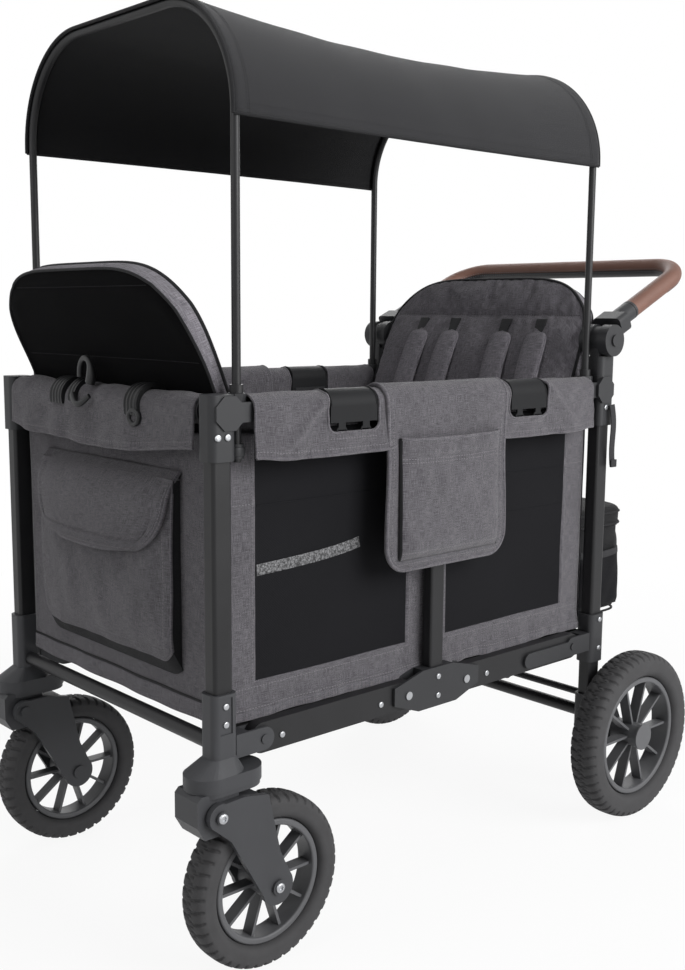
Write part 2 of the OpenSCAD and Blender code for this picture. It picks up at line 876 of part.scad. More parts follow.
module front_side_panels() {
  color(mesh_black) place() both_sides() side_panel();
}

module rear_side_panels() {
  color(mesh_black) place() both_sides() to_rear() side_panel();
}

module end_panel() {
  half = leg_y - collar_d / 2 - soft_gap;
  translate([-panel_x - panel_t / 2, -half, panel_bottom])
    cube([panel_t, 2 * half, panel_top - panel_bottom]);
}

module front_panel() {
  color(cloth_grey) place() end_panel();
}

module rear_panel() {
  color(cloth_grey) place() to_rear() end_panel();
}

// Front pocket with its flap, rear bag with its lid, and the saddle bag on the near side

module front_pocket() {
  face = panel_x + panel_t / 2 + ear_gap;
  color(cloth_grey) place() {
    translate([-face - pocket_d, 0, pocket_top_z - pocket_h / 2])
      rotate([90, 0, 90]) linear_extrude(pocket_d) rounded(pocket_w, pocket_h, pocket_round);
    translate([-face - pocket_d - flap_t, 0, pocket_top_z - flap_h / 2])
      rotate([90, 0, 90]) linear_extrude(flap_t + over)
        rounded(pocket_w - 2 * pocket_round, flap_h, flap_round);
  }
}

module rear_bag() {
  face = panel_x + panel_t / 2 + ear_gap;
  color(cloth_black) place() {
    translate([face + rear_bag_d / 2, 0, rear_bag_top - rear_bag_h])
      linear_extrude(rear_bag_h - over) rounded(rear_bag_d, rear_bag_w, rear_bag_round);
    translate([face + (rear_bag_d + rear_lid_over) / 2, 0, rear_bag_top - rear_lid_h])
      linear_extrude(rear_lid_h)
        rounded(rear_bag_d + rear_lid_over, rear_bag_w + 2 * rear_lid_over, rear_bag_round);
  }
}

module saddle_profile() {
  difference() {
    union() {
      translate([0, sleeve_rise]) circle(saddle_out_r);
      translate([-saddle_out_r, -saddle_drop]) square([saddle_t, saddle_drop + sleeve_rise]);
      translate([saddle_in_r, -saddle_inner_drop]) square([saddle_t, saddle_inner_drop + sleeve_rise]);
    }
    translate([0, sleeve_rise]) circle(saddle_in_r);
    translate([-saddle_in_r, -saddle_drop]) square([2 * saddle_in_r, saddle_drop + sleeve_rise]);
  }
}

module saddle_bag() {
  height = saddle_drop + 2 * saddle_out_r;
  pocket_height = saddle_drop - saddle_pocket_top - saddle_pocket_foot;
  color(cloth_grey) place() translate([0, -leg_y, top_rail_z]) {
    intersection() {
      along(-saddle_w / 2, saddle_w / 2) saddle_profile();
      translate([0, 0, height / 2 - saddle_drop])
        across(4 * saddle_out_r) rounded(saddle_w, height, saddle_round);
    }
    translate([0, -saddle_out_r - saddle_pocket_t / 2 + over / 2,
        saddle_pocket_foot - saddle_drop + pocket_height / 2])
      across(saddle_pocket_t + over)
      rounded(saddle_w - 2 * saddle_pocket_side, pocket_height, saddle_pocket_round);
  }
}

// Floor boards on the lower rails

module floor_board() {
  translate([-floor_outer_x, -floor_half_y, floor_z])
    cube([floor_outer_x - floor_inner_x, 2 * floor_half_y, floor_t]);
  translate([-floor_lug_x1, -floor_lug_half, floor_z])
    cube([floor_lug_x1 - floor_lug_x0, 2 * floor_lug_half, floor_t]);
}

module front_floor_board() {
  color(cloth_black) place() floor_board();
}

module rear_floor_board() {
  color(cloth_black) place() to_rear() floor_board();
}

// Seats: crowned backs with an arched top and a sewn channel, and padded bases in slings

function full(t) = 1 - pow(abs(t), 4);
function channel(v) = exp(-pow((v - seat_channel_share) / seat_channel_width_share, 2));
function seat_crown(u, v) =
  (seat_edge_share + (1 - seat_edge_share) * sqrt(full(u) * full(2 * v - 1))) * seat_back_t / 2;
function ease(t) = let (k = max(0, min(1, t))) k * k * (3 - 2 * k);
function seat_rear(v) =
  (seat_edge_share + seat_rear_swell_share * ease((v - seat_rear_from_share) / seat_rear_run_share))
  * seat_back_t / 2;
function seat_y(u, v) = seat_half * u * (1 - seat_taper_share * pow(v, 8));
function seat_z(u, v) = seat_rod_r + cushion_gap
  + (seat_back_h - seat_rod_r - cushion_gap) * v * (1 - seat_arch_share * pow(abs(u), seat_arch_power));

module seat_back() {
  us = [for (i = [0:seat_back_u]) 2 * i / seat_back_u - 1];
  vs = [for (j = [0:seat_back_v]) j / seat_back_v];
  front = [for (u = us) [for (v = vs)
    [seat_crown(u, v) - seat_channel_d * channel(v) * full(u), seat_y(u, v), seat_z(u, v)]]];
  back = [for (u = us) [for (v = vs) [-seat_rear(v), seat_y(u, v), seat_z(u, v)]]];
  translate([-seat_pivot_x, 0, seat_pivot_z]) rotate([0, -seat_lean, 0]) grid_solid(front, back);
}

module front_seat_back() {
  color(cloth_grey) place() seat_back();
}

module rear_seat_back() {
  color(cloth_grey) place() to_rear() seat_back();
}

module seat_base() {
  x0 = -base_rear_x;
  board_z = base_board_z;
  pad_z = board_z + seat_board_t + cushion_gap;
  us = [for (i = [0:base_u]) i / base_u];
  vs = [for (j = [0:base_v]) 2 * j / base_v - 1];
  top = [for (u = us) [for (v = vs) let (f = sqrt(full(2 * u - 1) * full(v)))
    [x0 + seat_depth * u, seat_half * v,
      pad_z + seat_cushion_t * (seat_edge_share + (1 - seat_edge_share) * f)]]];
  bottom = [for (u = us) [for (v = vs) [x0 + seat_depth * u, seat_half * v, pad_z]]];
  grid_solid(top, bottom);
  translate([x0, -sling_half, board_z]) cube([seat_depth, 2 * sling_half, seat_board_t]);
  for (s = [-1, 1])
    translate([-hanger_x - sling_l / 2, s * (sling_half - sling_t / 2) - sling_t / 2, board_z])
      cube([sling_l, sling_t, sling_top - board_z]);
  translate([-seat_pivot_x, 0, seat_pivot_z]) bar_across(seat_rod_r, -sling_half, sling_half);
  for (s = [-1, 1]) translate([-seat_pivot_x, s * (sling_half - seat_ear_t / 2), 0]) across(seat_ear_t) {
    translate([0, seat_pivot_z]) circle(seat_ear_r);
    polygon([[-seat_ear_r, seat_pivot_z], [seat_ear_r, seat_pivot_z], [seat_ear_l, board_z],
      [seat_rod_r + over, board_z]]);
  }
}

module front_seat_base() {
  color(cloth_grey) place() seat_base();
}

module rear_seat_base() {
  color(cloth_grey) place() to_rear() seat_base();
}

// Canopy hoops: two poles joined by an arch, with a stop collar above each pole loop

module hoop(x) {
  translate([x, 0, 0]) {
    for (s = [-1, 1]) {
      translate([0, s * pole_y, pole_bottom]) cylinder(r = pole_r, h = hoop_bend_z - pole_bottom);
      translate([0, s * pole_y, corner_top + ear_gap]) cylinder(r = stop_r, h = stop_h);
      translate([0, s * (pole_y - hoop_bend_r), hoop_bend_z]) rotate([90, 0, 90])
        rotate(s > 0 ? 0 : 90) rotate_extrude(angle = 90) translate([hoop_bend_r, 0]) circle(pole_r);
    }
    translate([0, 0, hoop_top_z]) bar_across(pole_r, -pole_y + hoop_bend_r, pole_y - hoop_bend_r);
  }
}

module front_hoop() {
  color(frame_black) place() hoop(-pole_x);
}

module rear_hoop() {
  color(frame_black) place() hoop(pole_x);
}

// The canopy follows the hoops' arch at a given offset and sags between them
function arch(offset) =
  let (r = (hoop_bend_r + offset) / cos(45 / canopy_bend_n), y = pole_y - hoop_bend_r)
  concat(
    [[-y - r, canopy_edge_z]],
    [for (k = [0:canopy_bend_n]) let (a = 90 * k / canopy_bend_n)
      [-y - r * cos(a), hoop_bend_z + r * sin(a)]],
    [[0, hoop_bend_z + r]],
    [for (k = [canopy_bend_n:-1:0]) let (a = 90 * k / canopy_bend_n)
      [y + r * cos(a), hoop_bend_z + r * sin(a)]],
    [[y + r, canopy_edge_z]]);
function canopy_slack(x) = max(0, 1 - pow(x / pole_x, 2));

function canopy_point(x, p) =
  let (slack = canopy_slack(x), rise = (p[1] - canopy_edge_z) / (hoop_top_z - canopy_edge_z))
  [x, p[0] * (1 - slack * canopy_side_pull / pole_y), p[1] - slack * canopy_sag * rise];

module canopy() {
  end = pole_x + canopy_over;
  xs = concat([-end], [for (i = [0:canopy_u]) pole_x * (2 * i / canopy_u - 1)], [end]);
  inner = pole_r + soft_gap;
  color(cloth_black) place() grid_solid(
    [for (x = xs) [for (p = arch(inner + canopy_t)) canopy_point(x, p)]],
    [for (x = xs) [for (p = arch(inner)) canopy_point(x, p)]]);
}

// Wheels, drawn about their axle with Z outboard

module tyre(r, w, wall, round_r) {
  rotate_extrude($fn = 96) translate([r - wall / 2, 0]) rounded(wall, w, round_r);
}

module rim(ring_r, w, hub0, hub1, bore0, bore1) {
  difference() {
    union() {
      rotate_extrude($fn = 96) translate([ring_r - tyre_fit - rim_ring_t / 2, 0])
        rounded(rim_ring_t, w * rim_ring_share, rim_ring_t / 3);
      translate([0, 0, hub0]) cylinder(r = rim_hub_r, h = hub1 - hub0);
      for (i = [0:spoke_count - 1]) rotate(i * 360 / spoke_count)
        translate([rim_hub_r / 2, -spoke_t / 2, -spoke_depth / 2])
          cube([ring_r - rim_hub_r / 2 - rim_ring_t / 2, spoke_t, spoke_depth]);
    }
    translate([0, 0, bore0]) cylinder(r = axle_r + run_gap, h = bore1 - bore0);
  }
}

module at_front_wheel() {
  translate([-front_axle_x, -leg_y, front_wheel_r]) rotate([90, 0, 0]) children();
}

module at_rear_wheel() {
  translate([leg_x + rear_axle_back, -rear_wheel_y, rear_wheel_r]) rotate([90, 0, 0]) children();
}

module front_tyre() {
  at_front_wheel() tyre(front_wheel_r, front_wheel_w, tyre_wall, tyre_round);
}

module front_rim() {
  half = fork_in - hub_clear;
  at_front_wheel() rim(front_wheel_r - tyre_wall, front_wheel_w, -half, half, -fork_in, fork_in);
}

module rear_tyre() {
  at_rear_wheel() tyre(rear_wheel_r, rear_wheel_w, rear_tyre_wall, rear_tyre_round);
}

module rear_rim() {
  hub0 = -rear_wheel_w / 2 - rear_hub_in;
  hub1 = rear_wheel_w / 2 - over;
  at_rear_wheel() {
    rim(rear_wheel_r - rear_tyre_wall, rear_wheel_w, hub0, hub1, hub0 - over,
      rear_wheel_w / 2 - axle_end_gap + over);
    translate([0, 0, hub1]) cylinder(r = hub_cap_r, h = hub_cap_h);
  }
}

module front_tyre_left() { color(tyre_black) place() front_tyre(); }
module front_tyre_right() { color(tyre_black) place() mirror([0, 1, 0]) front_tyre(); }
module front_rim_left() { color(rim_grey) place() front_rim(); }
module front_rim_right() { color(rim_grey) place() mirror([0, 1, 0]) front_rim(); }
module rear_tyre_left() { color(tyre_black) place() rear_tyre(); }
module rear_tyre_right() { color(tyre_black) place() mirror([0, 1, 0]) rear_tyre(); }
module rear_rim_left() { color(rim_grey) place() rear_rim(); }
module rear_rim_right() { color(rim_grey) place() mirror([0, 1, 0]) rear_rim(); }

// Casters: a swivel head with the suspension pivot, and a sprung fork that carries the wheel

module at_pivot() {
  translate([-pivot_px, -leg_y, pivot_z]) children();
}

module caster_head() {
  difference() {
    union() {
      at_pivot() across(2 * head_half)
        polygon([for (p = head_shares)
          [p[0] * (p[0] < 0 ? head_front : head_back), p[1] * (p[1] < 0 ? head_drop : head_rise)]]);
      translate([-leg_x, -leg_y, pivot_z + head_rise - flange_h])
        linear_extrude(flange_h) stadium(-skirt_front, skirt_back, flange_r);
      translate([-leg_x, -leg_y, pivot_z + head_rise - over]) cylinder(r = stem_r, h = stem_l + ear_gap);
    }
    at_front_wheel() cylinder(r = front_wheel_r + wheel_clear, h = 2 * fork_out, center = true, $fn = 96);
  }
  at_pivot() {
    bar_across(fork_pin_r, -fork_out - fork_head_h, fork_out + fork_head_h);
    bar_across(fork_head_r, -fork_out - fork_head_h, -fork_out - ear_gap);
    bar_across(fork_head_r, fork_out + ear_gap, fork_out + fork_head_h);
  }
}

module caster_fork() {
  at_pivot() {
    difference() {
      union() {
        for (s = [-1, 1]) translate([0, s * (fork_in + fork_plate_t / 2), 0]) across(fork_plate_t) {
          circle(fork_lug_r);
          translate([fork_run, -fork_drop]) circle(fork_axle_r);
          polygon([for (p = fork_shares) [p[0] * fork_run, p[1] * fork_drop]]);
        }
        translate([bridge_x0, -fork_in - over, bridge_z0])
          cube([bridge_x1 - bridge_x0, 2 * (fork_in + over), bridge_h]);
      }
      bar_across(fork_pin_r + run_gap, -fork_out - over, fork_out + over);
    }
    translate([fork_run, 0, -fork_drop]) {
      bar_across(axle_r, -fork_out, fork_out);
      bar_across(axle_head_r, -fork_out - fork_head_h, -fork_out);
      bar_across(axle_head_r, fork_out, fork_out + fork_head_h);
    }
  }
}

module caster_head_left() { color(plastic_grey) place() caster_head(); }
module caster_head_right() { color(plastic_grey) place() mirror([0, 1, 0]) caster_head(); }
module caster_fork_left() { color(plastic_grey) place() caster_fork(); }
module caster_fork_right() { color(plastic_grey) place() mirror([0, 1, 0]) caster_fork(); }

// Handle: sockets on the rear legs, hinge hubs, a bent tube, its grip and the release buttons

module handle_socket() {
  difference() {
    union() {
      translate([leg_x, -leg_y, 0]) collar(socket_bottom, socket_top);
      translate([leg_x, -leg_y, hub_z]) across(2 * tongue_half) {
        circle(tongue_r);
        translate([-neck_half, socket_top - over - hub_z])
          square([2 * neck_half, hub_z - socket_top + over]);
      }
    }
    translate([leg_x, -leg_y, 0]) leg_pocket(socket_bottom - over, rear_leg_top + seat_gap);
  }
  translate([leg_x, -leg_y, hub_z]) bar_across(hub_pin_r, -hub_pin_half, hub_pin_half);
}

module handle_sockets() {
  color(plastic_grey) place() both_sides() handle_socket();
}

module at_handle() {
  translate([leg_x, 0, hub_z]) rotate([0, -handle_tilt, 0]) children();
}

module handle_hub() {
  translate([0, -leg_y, 0]) difference() {
    union() {
      bar_across(cheek_r, -cheek_out, -tongue_half - ear_gap);
      bar_across(cheek_r, tongue_half + ear_gap, cheek_out);
      translate([hub_block_x0, 0, handle_offset]) rotate([90, 0, 90])
        linear_extrude(hub_block_l) rounded(2 * cheek_out, 2 * neck_r, neck_r / 2);
      translate([hub_block_x0 + hub_block_l - over, 0, handle_offset]) rotate([0, 90, 0])
        cylinder(r = neck_r, h = neck_l + over);
    }
    bar_across(hub_pin_r + run_gap, -hub_pin_half - seat_gap, hub_pin_half + seat_gap);
    bar_across(button_r + button_fit, -cheek_out - over, -cheek_out + button_pocket);
    translate([tube_start - seat_gap, 0, handle_offset]) rotate([0, 90, 0])
      cylinder(r = handle_tube_r + tyre_fit, h = hub_block_l + neck_l);
  }
}

module handle_hubs() {
  color(plastic_grey) place() at_handle() both_sides() handle_hub();
}

module bent_bar(start, r) {
  straight = leg_y - handle_bend_r;
  translate([0, 0, handle_offset]) {
    for (s = [-1, 1]) {
      translate([start, s * leg_y, 0]) rotate([0, 90, 0])
        cylinder(r = r, h = handle_reach - handle_bend_r - start);
      translate([handle_reach - handle_bend_r, s * straight, 0]) rotate(s > 0 ? 0 : -90)
        rotate_extrude(angle = 90) translate([handle_bend_r, 0]) circle(r);
    }
    translate([handle_reach, 0, 0]) bar_across(r, -straight, straight);
  }
}

module handle_tube() {
  color(frame_black) place() at_handle() difference() {
    bent_bar(tube_start, handle_tube_r);
    bent_bar(tube_start - over, handle_tube_r - cross_wall);
  }
}

module handle_grip() {
  color(leather_brown) place() at_handle() difference() {
    bent_bar(grip_start, grip_r);
    bent_bar(grip_start - over, handle_tube_r + tyre_fit);
  }
}

module handle_button() {
  translate([0, -leg_y, 0])
    bar_across(button_r, -cheek_out - button_proud, -cheek_out - button_proud + button_l);
}

module handle_button_left() { color(plastic_grey) place() at_handle() handle_button(); }
module handle_button_right() { color(plastic_grey) place() at_handle() mirror([0, 1, 0]) handle_button(); }

rear_legs();
rear_corner_brackets();
rear_lower_brackets();
handle_sockets();
rear_cross_tubes();
rear_axle_housings();
rear_axles();
rear_end_sleeve();
rear_panel();
rear_bag();
rear_side_panels();
rear_seat_base();
handle_hubs();
handle_tube();
handle_grip();
handle_button_left();
handle_button_right();
brake_pedal();
rear_tyre_left();
rear_rim_left();
rear_tyre_right();
rear_rim_right();
rear_top_rails();
rear_seat_hangers();
rear_rail_sleeves();
center_posts();
top_hinge_blocks();
lower_hinge_plates();
fold_pins();
saddle_bag();
front_top_rails();
front_seat_hangers();
front_rail_sleeves();
rear_lower_rails();
rear_floor_board();
front_lower_rails();
front_floor_board();
front_legs();
front_corner_brackets();
front_lower_brackets();
front_cross_tubes();
front_end_sleeve();
front_panel();
front_pocket();
front_side_panels();
front_seat_base();
front_hoop();
rear_hoop();
canopy();
front_seat_back();
rear_seat_back();
caster_head_left();
caster_head_right();
caster_fork_left();
caster_fork_right();
front_tyre_left();
front_rim_left();
front_tyre_right();
front_rim_right();
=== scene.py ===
"""Looks of a folding stroller wagon: cloth, net, leather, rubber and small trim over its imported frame."""

import json
import math

import bmesh
import bpy
import numpy as np
from mathutils import Matrix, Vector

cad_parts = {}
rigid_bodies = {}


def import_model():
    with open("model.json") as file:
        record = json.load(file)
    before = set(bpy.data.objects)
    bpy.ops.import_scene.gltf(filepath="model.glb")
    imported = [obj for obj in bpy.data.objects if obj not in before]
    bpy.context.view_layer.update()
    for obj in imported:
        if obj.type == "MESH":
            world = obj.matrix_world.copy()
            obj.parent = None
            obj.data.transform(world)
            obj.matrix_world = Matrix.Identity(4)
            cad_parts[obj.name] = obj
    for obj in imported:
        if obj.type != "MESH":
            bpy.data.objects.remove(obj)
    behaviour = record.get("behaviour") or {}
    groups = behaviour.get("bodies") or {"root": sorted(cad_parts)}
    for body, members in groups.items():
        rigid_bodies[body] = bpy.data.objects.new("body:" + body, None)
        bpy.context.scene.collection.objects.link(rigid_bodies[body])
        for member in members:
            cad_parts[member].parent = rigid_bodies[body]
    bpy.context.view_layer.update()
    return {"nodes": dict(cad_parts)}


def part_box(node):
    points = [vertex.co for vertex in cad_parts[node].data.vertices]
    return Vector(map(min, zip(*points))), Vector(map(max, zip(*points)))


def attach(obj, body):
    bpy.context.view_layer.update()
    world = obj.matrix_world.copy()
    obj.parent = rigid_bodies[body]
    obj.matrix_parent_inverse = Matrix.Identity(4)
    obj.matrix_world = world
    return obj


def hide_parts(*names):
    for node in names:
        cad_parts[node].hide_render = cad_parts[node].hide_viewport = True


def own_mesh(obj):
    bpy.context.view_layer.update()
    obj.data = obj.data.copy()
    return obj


for stray in list(bpy.data.objects):
    bpy.data.objects.remove(stray)
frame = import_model()

bl_info = {
    "name": "Stroller wagon looks",
    "version": (1, 0, 0),
    "blender": (4, 5, 0),
    "location": "View3D > Sidebar > Wagon",
    "description": "Soft goods, tyres, trim and finishes of a folding stroller wagon",
    "category": "Object",
}

# Places are in millimetres from the wagon's middle: X runs from front to rear, left is the -Y side
MM = 0.001
MIDDLE = (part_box("front_legs")[0].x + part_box("rear_legs")[1].x) / 2
LEG_X, LEG_Y = 378.0, 250.0
COLLAR_OUT = 266.0
ARCH_Z = 718.5
SKIRT = 61.5
SLEEVE_R, SLEEVE_INNER, SLEEVE_FROM, SLEEVE_TO = 19.0, 28.5, 78.3, 334.5
END_HALF = 230.0
HANGER_X, WINDOW_HALF, WINDOW_SILL = 176.0, 45.0, 27.0
PANEL_Y, PANEL_X, PANEL_FOOT, PANEL_TOP, PANEL_LONG = 233.5, 370.0, 325.5, 689.0, 359.0
POLE_X, HOOP_FLAT, HOOP_R, HEM_Z = 345.0, 105.0, 146.3, 1062.0
SEAT_X, SEAT_Z, SEAT_LEAN = 299.0, 580.0, math.radians(18.5)
SEAT_HALF, SEAT_FOOT, SEAT_RUN, SEAT_DEEP = 224.0, 4.3, 328.0, 18.0
SEAM_FACE, SEAM_TOP, SEAM_LOW = 266.0, 309.0, 208.0
DECK_X = 215.7
FRONT_AXLE, REAR_AXLE = (-312.0, 250.0, 114.0), (440.0, 294.5, 139.0)
HANDLE_Z, HANDLE_TILT, HANDLE_REACH, HANDLE_RISE = 795.0, math.radians(25), 265.0, 12.0
BEND_R, GRIP_START, GRIP_R = 60.0, 84.0, 15.0
FILL_STEPS = 20
SIDES = (("left", -1.0), ("right", 1.0))
ENDS = (("front", -1.0), ("rear", 1.0))


class WagonSizes(bpy.types.PropertyGroup):
    """Sizes of the soft goods and trim"""

    def length(name, description, default):
        return bpy.props.FloatProperty(name=name, description=description, default=default, unit="LENGTH", precision=4)

    canopy_sag: length("Canopy sag", "Dip of the cover between the hoops", 0.018)
    canopy_pull: length("Canopy side pull", "Draw-in of the cover's sides between the hoops", 0.008)
    cloth: length("Cloth thickness", "Thickness of the woven cloth", 0.0022)
    binding: length("Binding radius", "Radius of the bound edges", 0.0021)
    piping: length("Piping radius", "Radius of the seat backs' piping", 0.0036)
    stitch: length("Stitch length", "Length of one stitch", 0.0032)
    stitch_pitch: length("Stitch pitch", "Distance from stitch to stitch", 0.0048)
    tread: length("Tread depth", "Depth of the tyres' grooves", 0.0032)
    pad_width: length("Shoulder pad width", "Width of a shoulder pad", 0.043)
    pocket_depth: length("Pocket depth", "How far the front pocket stands out", 0.026)
    front_lugs: bpy.props.IntProperty(name="Front lugs", description="Lugs round a front tyre", default=44, min=12)
    rear_lugs: bpy.props.IntProperty(name="Rear lugs", description="Lugs round a rear tyre", default=52, min=12)


class WagonColours(bpy.types.PropertyGroup):
    """Colours of the finishes"""

    def colour(name, description, default):
        return bpy.props.FloatVectorProperty(
            name=name, description=description, default=default, size=3, subtype="COLOR", min=0, max=1)

    heather_dark: colour("Heather dark", "Dark yarn of the grey cloth", (0.040, 0.0375, 0.0435))
    heather_light: colour("Heather light", "Light yarn of the grey cloth", (0.178, 0.168, 0.186))
    canopy: colour("Canopy", "Outside of the canopy", (0.0138, 0.0138, 0.0160))
    lining: colour("Lining", "Black lining and bag cloth", (0.0045, 0.0045, 0.0054))
    net: colour("Net", "Strands of the window net", (0.0112, 0.0112, 0.0136))
    webbing: colour("Webbing", "Straps and bindings", (0.007, 0.007, 0.0085))
    tube: colour("Tube", "Powder coat of the tubes", (0.0095, 0.0095, 0.0105))
    plastic: colour("Plastic", "Moulded brackets", (0.0235, 0.024, 0.0262))
    rim: colour("Rim", "Wheel rims", (0.095, 0.096, 0.101))
    steel: colour("Steel", "Rivets, pins and bolts", (0.52, 0.53, 0.55))
    leather: colour("Leather", "Grip of the handle", (0.150, 0.066, 0.044))
    rubber: colour("Rubber", "Tyres", (0.038, 0.0375, 0.039))
    thread: colour("Thread", "Sewing thread", (0.16, 0.155, 0.165))
    floor: colour("Floor", "Studio floor", (0.86, 0.86, 0.86))


# Shader maths


class Value:
    """A shader socket; sums, products and the like of it add Math nodes."""

    def __init__(self, nodes, socket):
        self.nodes, self.socket = nodes, socket

    def math(self, operation, first, second=0.0):
        return self.nodes.node("ShaderNodeMath", {"operation": operation}, {0: first, 1: second})

    def __add__(self, other):
        return self.math("ADD", self, other)

    def __sub__(self, other):
        return self.math("SUBTRACT", self, other)

    def __rsub__(self, other):
        return self.math("SUBTRACT", other, self)

    def __mul__(self, other):
        return self.math("MULTIPLY", self, other)

    def __truediv__(self, other):
        return self.math("DIVIDE", self, other)

    def __abs__(self):
        return self.math("ABSOLUTE", self)

    __radd__, __rmul__ = __add__, __mul__

    def sine(self):
        return self.math("SINE", self)

    def kept(self):
        """The value held between 0 and 1."""
        return self.math("MINIMUM", self.math("MAXIMUM", self, 0.0), 1.0)


class Nodes:
    """A node tree, and the one method that adds its nodes."""

    def __init__(self, tree):
        self.tree = tree

    def feed(self, socket, value):
        """Links a Value to a socket, or sets the socket to a plain number or colour."""
        if isinstance(value, Value):
            self.tree.links.new(value.socket, socket)
        elif hasattr(value, "__len__") and len(value) == 3 and len(socket.default_value) == 4:
            socket.default_value = (*value, 1.0)
        else:
            socket.default_value = value

    def node(self, kind, settings=None, inputs=None, output=0):
        """Adds a node: its settings first, then its sockets' values or links; returns one output."""
        node = self.tree.nodes.new(kind)
        for key, value in (settings or {}).items():
            setattr(node, key, value)
        for key, value in (inputs or {}).items():
            self.feed(node.inputs[key], value)
        return Value(self, node.outputs[output])


class Finish(Nodes):
    """A material and the patterns that make it."""

    made = {}

    def __init__(self, name):
        self.material = bpy.data.materials.new(name)
        self.material.use_nodes = True
        super().__init__(self.material.node_tree)
        self.shader = self.tree.nodes["Principled BSDF"]
        Finish.made[name] = self.material

    def places(self, source):
        """Object coordinates, or the piece's own UV map in metres."""
        return self.node("ShaderNodeTexCoord", None, None, source)

    def parts(self, vector):
        """The X and Y parts of a vector."""
        split = self.node("ShaderNodeSeparateXYZ", None, {0: vector}).socket.node
        return Value(self, split.outputs[0]), Value(self, split.outputs[1])

    def stretch(self, vector, scale):
        return self.node("ShaderNodeMapping", None, {"Vector": vector, "Scale": scale})

    def noise(self, vector, scale, detail=2.0, rough=0.5):
        return self.node("ShaderNodeTexNoise", None,
                         {"Vector": vector, "Scale": scale, "Detail": detail, "Roughness": rough})

    def cells(self, vector, scale, feature="F1"):
        return self.node("ShaderNodeTexVoronoi", {"feature": feature}, {"Vector": vector, "Scale": scale})

    def mix(self, factor, first, second):
        """First colour at factor 0, second at 1."""
        return self.node("ShaderNodeMix", {"data_type": "RGBA"}, {0: factor, 6: first, 7: second}, 2)

    def bump(self, height, distance, strength=1.0):
        return self.node("ShaderNodeBump", None, {"Height": height, "Distance": distance, "Strength": strength})

    def set(self, **sockets):
        """Feeds the shader; underscores in a name stand for its spaces."""
        for key, value in sockets.items():
            self.feed(self.shader.inputs[key.replace("_", " ")], value)
        return self.material


def scaled(colour, share):
    return tuple(min(1.0, c * share) for c in colour)


def heather_finish(name, dark, light):
    """Woven grey cloth: yarn tones as noises drawn out along both threads, over a fine plain weave."""
    f = Finish(name)
    uv = f.places("UV")
    warp = f.noise(f.stretch(uv, (1700, 70, 1)), 1.0, 3.0, 0.6)
    weft = f.noise(f.stretch(uv, (70, 1700, 1)), 1.0, 3.0, 0.6)
    cloud = f.noise(uv, 16.0, 3.0)
    u, v = f.parts(uv)
    weave = (u * 5200).sine() * (v * 5200).sine()
    tone = ((warp + weft - 1.0) * 2.1 + 0.38 + (cloud - 0.5) * 0.3 + weave * 0.06).kept()
    height = weave * 0.5 + warp + weft
    return f.set(Base_Color=f.mix(tone, dark, light), Roughness=0.98 - tone * 0.14,
                 Normal=f.bump(height, 0.00045, 0.9), Sheen_Weight=0.25, Sheen_Roughness=0.5,
                 Specular_IOR_Level=0.2)


def plain_cloth_finish(name, colour, pitch, shine, sheen=0.03, gleam=0.25):
    """Close plain weave in one colour with a faint cloudiness; pitch is the threads' spacing in metres."""
    f = Finish(name)
    uv = f.places("UV")
    u, v = f.parts(uv)
    turn = 2 * math.pi / pitch
    weave = (u * turn).sine() * (v * turn).sine()
    yarn = f.noise(f.stretch(uv, (900, 60, 1)), 1.0) + f.noise(f.stretch(uv, (60, 900, 1)), 1.0) - 1.0
    cloud = f.noise(uv, 9.0, 4.0)
    tone = (cloud * 0.5 + yarn * 0.5 + weave * 0.1 + 0.25).kept()
    return f.set(Base_Color=f.mix(tone, scaled(colour, 0.72), scaled(colour, 1.3)),
                 Roughness=0.9 - shine - tone * 0.1, Normal=f.bump(weave + yarn * 0.6, 0.0003, 0.8),
                 Sheen_Weight=sheen, Specular_IOR_Level=gleam)


def net_finish(name, colour):
    """Window net: two slanted families of strands, dark in the holes between them."""
    f = Finish(name)
    uv = f.places("UV")
    u, v = f.parts(uv)
    turn = math.pi / 0.0021
    strand = (abs(((u + v) * turn).sine()) + abs(((u - v) * turn).sine())) * 0.5
    hole = (strand * 1.9 - 0.75).kept()
    cloud = f.noise(uv, 7.0, 3.0)
    return f.set(Base_Color=f.mix(hole, scaled(colour, 0.22), f.mix(cloud, scaled(colour, 0.7), scaled(colour, 1.25))),
                 Roughness=0.85 - hole * 0.2, Normal=f.bump(hole, 0.0004, 0.9), Specular_IOR_Level=0.12)


def band_finish(name, dark, light):
    """Speckled elastic: bright flecks in rows across a dark ground."""
    f = Finish(name)
    uv = f.places("UV")
    fleck = f.cells(f.stretch(uv, (300, 300, 1)), 1.0)
    grain = f.noise(uv, 480.0)
    bright = (grain * 1.5 - fleck * 0.75 - 0.1).kept()
    return f.set(Base_Color=f.mix(bright, dark, light), Roughness=0.55 + bright * 0.2,
                 Normal=f.bump(bright, 0.0005, 0.8))


def ribbed_finish(name, colour, pitch):
    """Webbing: ribs across the strap, lighter on their crowns, with a mottled tone."""
    f = Finish(name)
    uv = f.places("UV")
    u, v = f.parts(uv)
    rib = (u * (2 * math.pi / pitch)).sine() * 0.5 + 0.5
    edge = (v * (2 * math.pi / (pitch * 1.7))).sine() * 0.5 + 0.5
    wear = f.noise(uv, 60.0, 3.0)
    tone = (rib * 0.5 + edge * 0.2 + wear * 0.4).kept()
    return f.set(Base_Color=f.mix(tone, scaled(colour, 0.6), scaled(colour, 1.7)), Roughness=0.9 - tone * 0.2,
                 Normal=f.bump(rib + edge * 0.4, 0.0004, 0.8))


